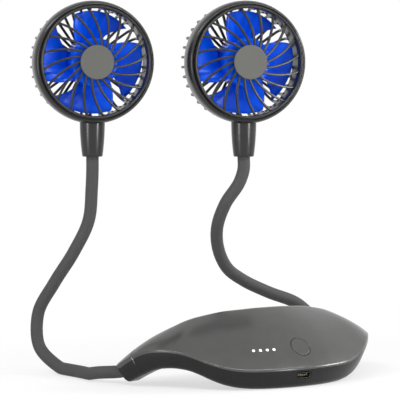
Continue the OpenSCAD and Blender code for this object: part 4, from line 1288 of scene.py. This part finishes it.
@dataclass
class Arm:
    """One gooseneck: a soft sleeve over a stiff core, in five lengths split where its joints are."""

    side: Side
    shape: BandShape
    head: HeadPlace
    finishes: Finishes
    sleeve_radius: float = 3.7
    core_radius: float = 2.35
    sleeve_gap: float = 0.05
    tip_insert: float = 6.0
    path_steps: int = 24
    rings: int = 22
    sleeve_sides: int = 36
    core_sides: int = 20
    sections: tuple[str, ...] = ("foot", "swing", "lean", "tilt", "turn")
    left_shares: tuple[Triple, ...] = (
        (-0.02, -0.06, 0.14), (-0.045, -0.08, 0.32), (-0.02, -0.11, 0.495), (0.06, -0.145, 0.575),
        (0.215, -0.145, 0.54), (0.375, -0.105, 0.395), (0.535, -0.045, 0.25), (0.69, 0, 0.135),
        (0.845, 0.005, 0.065))
    right_shares: tuple[Triple, ...] = (
        (-0.045, 0.03, 0.1), (0, 0.035, 0.165), (0.075, 0.035, 0.21), (0.165, 0.015, 0.22),
        (0.235, -0.04, 0.195), (0.305, -0.175, 0.195), (0.375, -0.285, 0.19), (0.445, -0.35, 0.165),
        (0.525, -0.355, 0.145), (0.65, -0.315, 0.1), (0.77, -0.225, 0.045), (0.885, -0.09, 0.005))

    def controls(self) -> list[Vector]:
        """Points that the arm passes, from inside the band's tip to inside the head's socket."""
        tip, way = self.shape.tip_ray(self.side)
        mouth = self.head.mouth
        climb = mouth.z - tip.z
        shares = self.left_shares if self.side is Side.LEFT else self.right_shares
        straight = self.sleeve_radius
        return [
            *(tip + run * way for run in (-self.tip_insert, 0.0, straight)),
            *(tip.lerp(mouth, up) + climb * Vector((across, front, 0)) for up, across, front in shares),
            mouth - Vector((0, 0, 2 * straight)), mouth, mouth + Vector((0, 0, self.head.insert))]

    def path(self) -> list[Vector]:
        """The arm's middle line in even, close steps.

        Returns:
            Points from end to end, kept from sinking below the table.
        """
        p = self.controls()
        chord = [(b - a).length for a, b in zip(p, p[1:])]

        def pull(i: int) -> Vector:
            """Direction and speed of the curve at control i."""
            if i == 0:
                return (p[1] - p[0]) / chord[0]
            if i == len(p) - 1:
                return (p[i] - p[i - 1]) / chord[i - 1]
            a, b = chord[i - 1], chord[i]
            return ((p[i + 1] - p[i]) * a / b + (p[i] - p[i - 1]) * b / a) / (a + b)

        fine = []
        for i in range(len(p) - 1):
            for k in range(self.path_steps):
                u = k / self.path_steps
                here = hermite(p[i], p[i + 1], pull(i) * chord[i], pull(i + 1) * chord[i], u)
                fine.append(Vector((here.x, here.y, max(here.z, self.sleeve_radius))))
        fine.append(p[-1])
        marks = [0.0]
        for a, b in zip(fine, fine[1:]):
            marks.append(marks[-1] + (b - a).length)
        count = len(self.sections) * self.rings
        found, k = [], 0
        for j in range(count + 1):
            s = marks[-1] * j / count
            while k < len(marks) - 2 and s > marks[k + 1]:
                k += 1
            found.append(fine[k].lerp(fine[k + 1], (s - marks[k]) / (marks[k + 1] - marks[k])))
        return found

    def across(self, path: Sequence[Vector]) -> list[Vector]:
        """A direction square to the arm at each point, carried along without twist."""
        found, last = [], Vector((0, 0, 1))
        for i in range(len(path)):
            way = heading(path, i)
            last = (last - last.dot(way) * way).normalized()
            found.append(last.copy())
        return found

    def tube(self, path: Sequence[Vector], across: Sequence[Vector], span: tuple[int, int],
             outer: float, inner: float, sides: int) -> Form:
        """One length of the arm as a closed tube wall or a closed rod.

        Args:
            path: The arm's middle line.
            across: The directions square to it.
            span: First and last point of the length.
            outer: Outer radius.
            inner: Inner radius, or 0 for a rod.
            sides: Points round it.

        Returns:
            The shape in place.
        """
        def rings(radius: float) -> list[list[Vector]]:
            """Rings of one radius along the length."""
            section = arc(0, 0, radius, 0, 360 * (sides - 1) / sides, sides - 1)
            whole = swept(path, across, section)
            return whole[span[0]:span[1] + 1]

        if not inner:
            return solid(rings(outer))
        bm = grid([*rings(outer), *reversed(rings(inner))], along=True)
        bmesh.ops.recalc_face_normals(bm, faces=bm.faces)
        return bm

    def bodies(self, index: int) -> tuple[str, str]:
        """The bodies before and after a length's joint."""
        label = self.side.label
        chain = ["band", f"{label}_arm_swing", f"{label}_arm_lean", f"{label}_arm_tilt", f"{label}_head"]
        return chain[max(index - 1, 0)], chain[index]

    def build(self) -> None:
        """Make the ten tubes: the first length's tubes ride on the band, and the others stay fixed where
        they are made.
        """
        path = self.path()
        across = self.across(path)
        label = self.side.label
        for index, section in enumerate(self.sections):
            span = (index * self.rings, (index + 1) * self.rings)
            before, after = self.bodies(index)
            bore = self.core_radius + self.sleeve_gap
            kinds = (
                ("sleeve", self.sleeve_radius, bore, self.sleeve_sides, "sleeve_grey", self.finishes.sleeve),
                ("core", self.core_radius, 0.0, self.core_sides, "steel", self.finishes.steel))
            for kind, outer, inner, sides, slot, finish in kinds:
                bm = self.tube(path, across, span, outer, inner, sides)
                obj = mesh_object(bm, f"{label}_{kind}_{section}_bend", 50)
                dress(obj, [finish], f"{label}_{kind}_{section}")
                if index == 0:
                    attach(obj, "band")
                else:
                    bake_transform(obj)


# The fan heads


@dataclass
class FanHead:
    """One caged fan: rim, cage, front grille, plain middle disc, impeller and neck socket."""

    at: HeadPlace
    finishes: Finishes
    rim_middle: float = 4.2
    rim_front: float = 9.6
    rim_back: float = 7.0
    rim_wall: float = 2.2
    rim_taper: float = 1.6
    cage_back: float = 18.7
    fin_depth: float = 2.4
    fin_thick: float = 1.5
    fin_count: int = 36
    fin_start: float = -8.5
    disc_radius: float = 11.6
    cup_radius: float = 10.55
    cup_front: float = -8.5
    cup_wall: float = 1.2
    edge_round: float = 0.3
    bezel_front: float = 12.0
    bezel_seat: float = 3.4
    bezel_wall: float = 2.2
    fit_gap: float = 0.05
    groove: float = 0.6
    rib_count: int = 20
    rib_start: float = -1 / 8
    rib_steps: int = 20
    rib_width: float = 1.35
    rib_depth: float = 1.6
    rib_arc: float = 40.0
    rib_arc_side: float = 5.5
    rib_wall_front: float = 10.0
    rib_hub_front: float = 12.8
    cap_radius: float = 10.0
    cap_thick: float = 1.2
    blade_radius: float = 30.2
    hub_radius: float = 14.6
    hub_front: float = 8.5
    hub_back: float = 9.4
    hub_wall: float = 1.4
    blade_count: int = 4
    blade_start: float = 1 / 10
    blade_sweep: float = 70.0
    blade_skew: float = 23.0
    blade_set: float = 6.5
    blade_thick: float = 1.3
    socket_top: float = 7.4
    socket_end: float = 6.05
    socket_bore: float = 3.76

    @property
    def label(self) -> str:
        """The word that the head's names start with."""
        return self.at.side.label

    def finish(self, obj: Object, slot: str, material: Material, node: str, body: str = "head") -> None:
        """Dress one of the head's pieces and let it ride on one of its bodies."""
        settle(obj, f"{self.label}_{body}", [material], f"{self.label}_{node}")

    def piece(self, parts: Sequence[Form], name: str, crease: float = 35.0) -> Object:
        """One piece of the head from parts in the head's own frame."""
        return mesh_object(turned(joined(parts), self.at.frame), f"{self.label}_{name}", crease)

    @property
    def edge_radius(self) -> float:
        """Radius of the rim's two edges."""
        return self.at.radius - self.rim_taper

    @property
    def seat_radius(self) -> float:
        """Radius of the bezel's seat in the rim."""
        return self.edge_radius - self.rim_taper / 2

    @property
    def bezel_outer(self) -> float:
        """Outer radius of the bezel in its seat."""
        return self.seat_radius - self.fit_gap

    @property
    def bezel_inner(self) -> float:
        """Inner radius of the bezel."""
        return self.bezel_outer - self.bezel_wall

    @property
    def boss_radius(self) -> float:
        """Radius of the boss under the plain disc, into which the ribs run."""
        return self.cap_radius - self.rib_width / 2

    def build(self) -> None:
        """Make and dress every piece of the head."""
        self.rear_grille()
        self.front_grille()
        self.hub_cap()
        self.impeller()
        self.neck_socket()

    def rim_curve(self, steps: int = 9) -> Outline:
        """The rim's outside, from its back edge to its front lip."""
        edge, wide, middle, front = self.edge_radius, self.at.radius, self.rim_middle, self.rim_front
        return [*curve((edge, -self.rim_back), (wide, -self.rim_back / 3), (wide, middle), even(steps)),
                *curve((wide, middle), (wide, middle * 0.3 + front * 0.7), (edge, front), even(steps, 1))]

    def cage_curve(self, depth: float, steps: int = 6) -> Outline:
        """The fins' outer edge, or their inner edge at the fins' depth."""
        reach = self.rim_back * 0.8
        low, back = self.edge_radius - depth, depth - self.cage_back
        return curve((low, reach - self.cage_back), (low, back), (self.edge_radius - reach, back),
                     even(steps))

    def rear_grille(self) -> None:
        """The rim, its fins, the disc at their back and the motor's cup, as one moulding."""
        fins = ring_of(self.fin, self.fin_count, self.fin_start)
        obj = self.piece([self.rim(), *fins, self.cage_disc()], "rim_and_cage")
        self.finish(obj, "head_dark", self.finishes.head, "rear_grille")

    def rim(self) -> Form:
        """The rim, with the bezel's seat in its front lip."""
        seat, inner, small = self.seat_radius, self.edge_radius - self.rim_wall, self.edge_round
        front, back, deep = self.rim_front, -self.rim_back, self.rim_front - self.bezel_seat
        return lathe([*self.rim_curve()[:-1], (self.edge_radius - 0.12, front - 0.02),
                      (seat + 0.25, front + 0.02), (seat, front - 0.25), (seat, deep), (inner, deep),
                      (inner, back + small), (inner + small, back)], 144)

    def cage_disc(self) -> Form:
        """The disc at the cage's back with its shallow dish, and the motor's cup."""
        disc, cup, small = self.disc_radius, self.cup_radius, self.edge_round
        back, deep, front = -self.cage_back, self.fin_depth - self.cage_back, self.cup_front
        hollow, floor = cup - self.cup_wall, back + self.cup_wall
        return lathe([(0, back + 0.5), (disc - 3.2, back + 0.5), (disc - 2.9, back + 0.08),
                      (disc - 2.6, back), *arc(disc - 2 * small, back + 2 * small, 2 * small, -90, 0),
                      (disc, deep - small), (disc - small, deep), (cup, deep), (cup, front - small),
                      (cup - small, front), (hollow, front), (hollow, floor), (0, floor)], 72, False)

    def fin(self) -> Form:
        """One fin in the plane of X and Z, with rounded edges."""
        def edge(depth: float) -> Outline:
            """The fin's edge at a depth, from inside the rim to inside the disc."""
            low = self.edge_radius - depth
            return [(low - self.edge_round, 1.2 - self.rim_back), (low, -self.rim_back - 0.2),
                    *self.cage_curve(depth), (self.disc_radius - 1, depth - self.cage_back)]

        half = self.fin_thick / 2
        rows = []
        for (ro, zo), (ri, zi) in zip(edge(0), edge(self.fin_depth)):
            a, b = Vector((ro, 0, zo)), Vector((ri, 0, zi))
            depth = (b - a).length
            way = (b - a) / depth
            right = [(0.3, 0.0), (0.8, 0.22), (1.0, half), (1.0, depth - 0.5), (0.6, depth)]
            section = [*right, *((-across, along) for across, along in reversed(right))]
            rows.append([a + way * along + Vector((0, half * across, 0)) for across, along in section])
        return solid(rows)

    def dome(self, r: float) -> float:
        """How far the ribs' front lies in front of the head's middle, at a radius."""
        share = (r / self.bezel_inner) ** 2
        return self.rib_hub_front * (1 - share) + self.rib_wall_front * share

    def rib(self) -> Form:
        """One spiral rib with a rounded front, from the boss to the bezel."""
        boss = self.boss_radius
        up = math.sqrt(self.rib_arc**2 - (boss + self.rib_arc_side) ** 2)
        centre = Vector((-self.rib_arc_side, up))
        gap = centre.length
        way = centre / gap
        path = []
        first, last = boss - 0.6, self.bezel_inner + 0.5
        for i in range(self.rib_steps + 1):
            r = first + (last - first) * i / self.rib_steps
            reach = (r * r - self.rib_arc**2 + gap * gap) / (2 * gap)
            off = math.sqrt(max(r * r - reach * reach, 0.0))
            spot = way * reach + Vector((way.y, -way.x)) * off
            path.append(Vector((spot.x, spot.y, self.dome(r) - self.rib_depth / 2)))
        half, depth = self.rib_width / 2, self.rib_depth / 2
        corners = ((depth, -half), (depth, half), (-depth, half), (-depth, -half))
        section = rounded(corners, (0.42, 0.42, 0.3, 0.3), 3)
        return solid(swept(path, [Vector((0, 0, 1))] * len(path), section))

    def front_grille(self) -> None:
        """The bezel, the spiral ribs and the boss, as one moulding."""
        ribs = ring_of(self.rib, self.rib_count, self.rib_start)
        r, front, small = self.boss_radius, self.rib_hub_front, self.edge_round
        low = self.dome(r) - self.rib_depth
        boss = lathe([(0, low), (r - small, low), (r, low + small), (r, front), (0, front)], 72, False)
        obj = self.piece([self.bezel(), *ribs, boss], "bezel_and_ribs", 40)
        self.finish(obj, "head_dark", self.finishes.head, "front_grille")

    def bezel(self) -> Form:
        """The ring in the rim's seat, rounded in front, with a groove beside the rim."""
        seat, ledge = self.rim_front - self.bezel_seat, self.rim_front - self.bezel_seat / 2
        out, inner, front = self.bezel_outer, self.bezel_inner, self.bezel_front
        groove = out - self.groove
        top = (inner * 0.35 + groove * 0.65, front)
        return lathe([(inner, seat + 0.2), (inner + 0.2, seat), (out, seat), (out, ledge), (groove, ledge),
                      *curve((groove, self.rim_front - 0.2), (groove, front), top, even(8)),
                      *curve(top, (inner + 0.15, front), (inner, front - 0.9), even(6, 1))], 144)

    def hub_cap(self) -> None:
        """The plain bare disc at the grille's middle, with a small rounded edge."""
        base, r, top = self.rib_hub_front, self.cap_radius, self.rib_hub_front + self.cap_thick
        small = self.edge_round
        disc = lathe([(0, base + 0.02), (r - 0.1, base + 0.02), (r, base + 0.12), (r, top - small),
                      *arc(r - small, top - small, small, 15, 90), (r - 0.8, top), (r * 0.5, top),
                      (0, top)], 96, False)
        obj = self.piece([disc], "plain_disc", 50)
        self.finish(obj, "cap_grey", self.finishes.cap, "hub_cap")

    def blade(self) -> Form:
        """One pitched blade with rounded edges, from inside the hub to its tip."""
        root, tip = self.hub_radius - self.hub_wall / 2, self.blade_radius
        back, front = -self.hub_back + self.blade_thick / 2, self.hub_front - self.blade_set
        edge = 0.04
        marks = [0.0, 0.3 * edge, edge, *even(20, 1)[:-1], 1 - edge, 1 - 0.3 * edge, 1.0]

        def spot(u: float, v: float, side: float) -> Vector:
            """A point of the blade: u along its sweep, v out to its tip, side from -1 to 1."""
            angle = math.radians(self.blade_sweep * (u - 0.5) - self.blade_skew * v)
            r = root + (tip - root) * v
            rise = (1 - math.cos(math.pi * u)) / 4 + u / 2
            rim = min(u, 1 - u, edge)
            thin = math.sqrt(1 - (1 - rim / edge) ** 2)
            lift = self.blade_thick / 2 * (1 + side * (0.25 + 0.75 * thin))
            return Vector((r * math.cos(angle), r * math.sin(angle), back + (front - back) * rise + lift))

        rows = []
        for v in (0.0, 0.1, 0.25, 0.4, 0.55, 0.7, 0.85, 0.96, 1.0):
            squeeze = 1.0 if v < 1 else 0.5
            rows.append([*(spot(u, v, squeeze) for u in marks),
                         *(spot(u, v, -squeeze) for u in reversed(marks))])
        return solid(rows)

    def impeller(self) -> None:
        """The bright fan: a cup-shaped hub and four broad pitched blades."""
        r, wall, front, back = self.hub_radius, self.hub_wall, self.hub_front, -self.hub_back
        round_start = front - 2 * wall
        hub = lathe([(r - wall, back), (r - 0.2, back), (r, back + 0.2),
                     *curve((r, round_start), (r, front), (r - 2 * wall, front), even(9)),
                     (r - 3 * wall, front), (0, front), (0, front - wall), (r - 2 * wall, front - wall),
                     (r - wall, round_start)], 96)
        blades = ring_of(self.blade, self.blade_count, self.blade_start)
        obj = self.piece([hub, *blades], "fan_wheel", 45)
        self.finish(obj, "fan_blue", self.finishes.blue, "impeller", "fan")

    def neck_socket(self) -> None:
        """The barrel-shaped collar below the rim, cut to the rim's shape."""
        wide, length = self.at.radius, self.at.socket_length
        mouth, top, end = -wide - length, self.socket_top, self.socket_end
        bore, deep, gap = self.socket_bore, mouth + self.at.insert + self.edge_round, self.fit_gap
        pull = (end * 0.1 + top * 0.9, mouth + length / 2)
        bm = lathe([(bore, mouth + 0.25), (bore + 0.24, mouth), (end - 0.6, mouth),
                    (end - 0.2, mouth + 0.14), *curve((end, mouth + 0.6), pull, (top, -wide), even(14)),
                    (top, top - wide), (0, top - wide), (0, deep), (bore, deep)], 96)
        obj = mesh_object(turned(bm, Matrix.Translation(self.at.middle * MM)), f"{self.label}_collar")
        envelope = [(0, -self.cage_back), *reversed(self.cage_curve(-gap)),
                    *((r + gap, z) for r, z in self.rim_curve()), (0, self.rim_front)]
        carved(obj, [turned(lathe(envelope, 96, False), self.at.frame)])
        self.finish(obj, "head_dark", self.finishes.head, "neck_socket")


# Nodes that keep their own mesh


def dress_nodes(nodes: dict[str, Object], finishes: Finishes) -> None:
    """Give every node that still shows a detailed finish.

    Args:
        nodes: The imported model's nodes.
        finishes: All finishes.
    """
    own = {
        "cover_screws": finishes.steel, "switch_plunger": finishes.black, "button_switch": finishes.steel,
        "lamp_chips": finishes.chip, "lamp_board": finishes.board, "main_board": finishes.board,
        "charge_board": finishes.board, "board_screws": finishes.steel, "battery_cells": finishes.wrap}
    for side in Side:
        own[f"{side.label}_motor_can"] = finishes.motor
        own[f"{side.label}_motor_cap"] = finishes.white
        own[f"{side.label}_motor_lead"] = finishes.wire
        own[f"{side.label}_motor_shaft"] = finishes.steel
    for name, material in own.items():
        nodes[name].data.materials.clear()
        nodes[name].data.materials.append(material)
        LOG.info("%s keeps its own mesh, in %s", name, material.name)


# Camera, floor and light


@dataclass
class Studio:
    """The photograph's view, a plain pale floor and soft light."""

    camera_place: Triple = (-0.697, -1.0185, 0.1845)
    heading: float = 32.0
    pitch_down: float = 3.64
    view_angle: float = 10.55
    sensor: float = 36.0
    floor_reach: float = 12.0

    def build(self) -> None:
        """Make the camera, floor, sky and lamps."""
        self.camera()
        self.floor()
        self.sky()
        band, heads = (0.0, 0.03, 0.02), (-0.03, 0.07, 0.15)
        self.lamp("left_high_strip", (-0.72, -0.1, 0.86), band, (1.0, 0.035), 4.8)
        self.lamp("front_edge_strip", (0.083, -0.561, 0.68), band, (0.95, 0.03), 3.4)
        self.lamp("right_strip", (0.97, -0.36, 0.5), band, (0.5, 0.16), 6.6)
        self.lamp("left_tall_strip", (-1.0, -0.17, 0.16), heads, (0.18, 0.4), 3.2)
        self.lamp("right_tall_strip", (0.3, -0.9, 0.13), heads, (0.18, 0.3), 3.6)

    def camera(self) -> None:
        """The camera, at the photograph's angle."""
        data = bpy.data.cameras.new("photo_camera")
        data.sensor_width = self.sensor
        data.lens = self.sensor / 2 / math.tan(math.radians(self.view_angle / 2))
        data.clip_start, data.clip_end = 0.05, 60.0
        obj = bpy.data.objects.new("photo_camera", data)
        pitch, heading = math.radians(self.pitch_down), math.radians(self.heading)
        way = Vector((math.sin(heading), math.cos(heading), -math.tan(pitch)))
        obj.location = self.camera_place
        obj.rotation_euler = way.to_track_quat("-Z", "Y").to_euler()
        bpy.context.scene.collection.objects.link(obj)
        bpy.context.scene.camera = obj

    def floor(self) -> None:
        """A plain pale floor that fades to the white background away from the object."""
        bm = bmesh.new()
        bmesh.ops.create_grid(bm, x_segments=8, y_segments=8, size=self.floor_reach)
        obj = mesh_object(bm, "floor")
        material, w, shader = begin("pale_floor")
        w.feed(shader, {"Base Color": (0.94, 0.94, 0.94, 1), "Roughness": 0.6, "Specular IOR Level": 0.2})
        far = w.node("VectorMath", {0: w.here}, operation="LENGTH").outputs["Value"]
        fade = w.spread(far, 0.11, 0.26, 0.6, 1.0)
        seen = w.maths("MULTIPLY", fade, w.background_ray)
        glow = w.node("Emission", {"Color": (1, 1, 1, 1), "Strength": 1.0})
        mixed = w.node("MixShader", {0: seen, 1: shader.outputs[0], 2: glow.outputs[0]})
        w.feed(material.node_tree.nodes["Material Output"], {"Surface": mixed.outputs[0]})
        obj.data.materials.append(material)

    def sky(self) -> None:
        """White where the camera, a reflection or clear plastic sees it, and a softer light elsewhere."""
        world = bpy.data.worlds.new("soft_room")
        world.use_nodes = True
        bpy.context.scene.world = world
        w = Wiring(world.node_tree)
        strength = w.spread(w.background_ray, 0.0, 1.0, 0.28, 1.0)
        w.feed(world.node_tree.nodes["Background"], {"Color": (1, 1, 1, 1), "Strength": strength})

    def lamp(self, name: str, spot: Triple, target: Triple, size: tuple[float, float], power: float) -> None:
        """A soft box.

        Args:
            name: Its name.
            spot: Where it stands, in metres.
            target: What it points at.
            size: Its width and height.
            power: Its power in watts.
        """
        data = bpy.data.lights.new(name, "AREA")
        data.shape, data.size, data.size_y, data.energy = "RECTANGLE", size[0], size[1], power
        obj = bpy.data.objects.new(name, data)
        obj.location = spot
        obj.rotation_euler = (Vector(target) - Vector(spot)).to_track_quat("-Z", "Y").to_euler()
        bpy.context.scene.collection.objects.link(obj)


def main() -> None:
    """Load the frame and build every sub-assembly in order."""
    logging.basicConfig(level=logging.INFO, format="%(name)s: %(message)s", stream=sys.stdout)
    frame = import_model()
    bpy.context.scene.view_settings.view_transform = "Standard"
    Studio().build()
    finishes = Finishes()
    shape = BandShape()
    Band(shape, finishes).build()
    for side in Side:
        head = HeadPlace(side)
        Arm(side, shape, head, finishes).build()
        FanHead(head, finishes).build()
    dress_nodes(frame["nodes"], finishes)


if __name__ == "__main__":
    main()
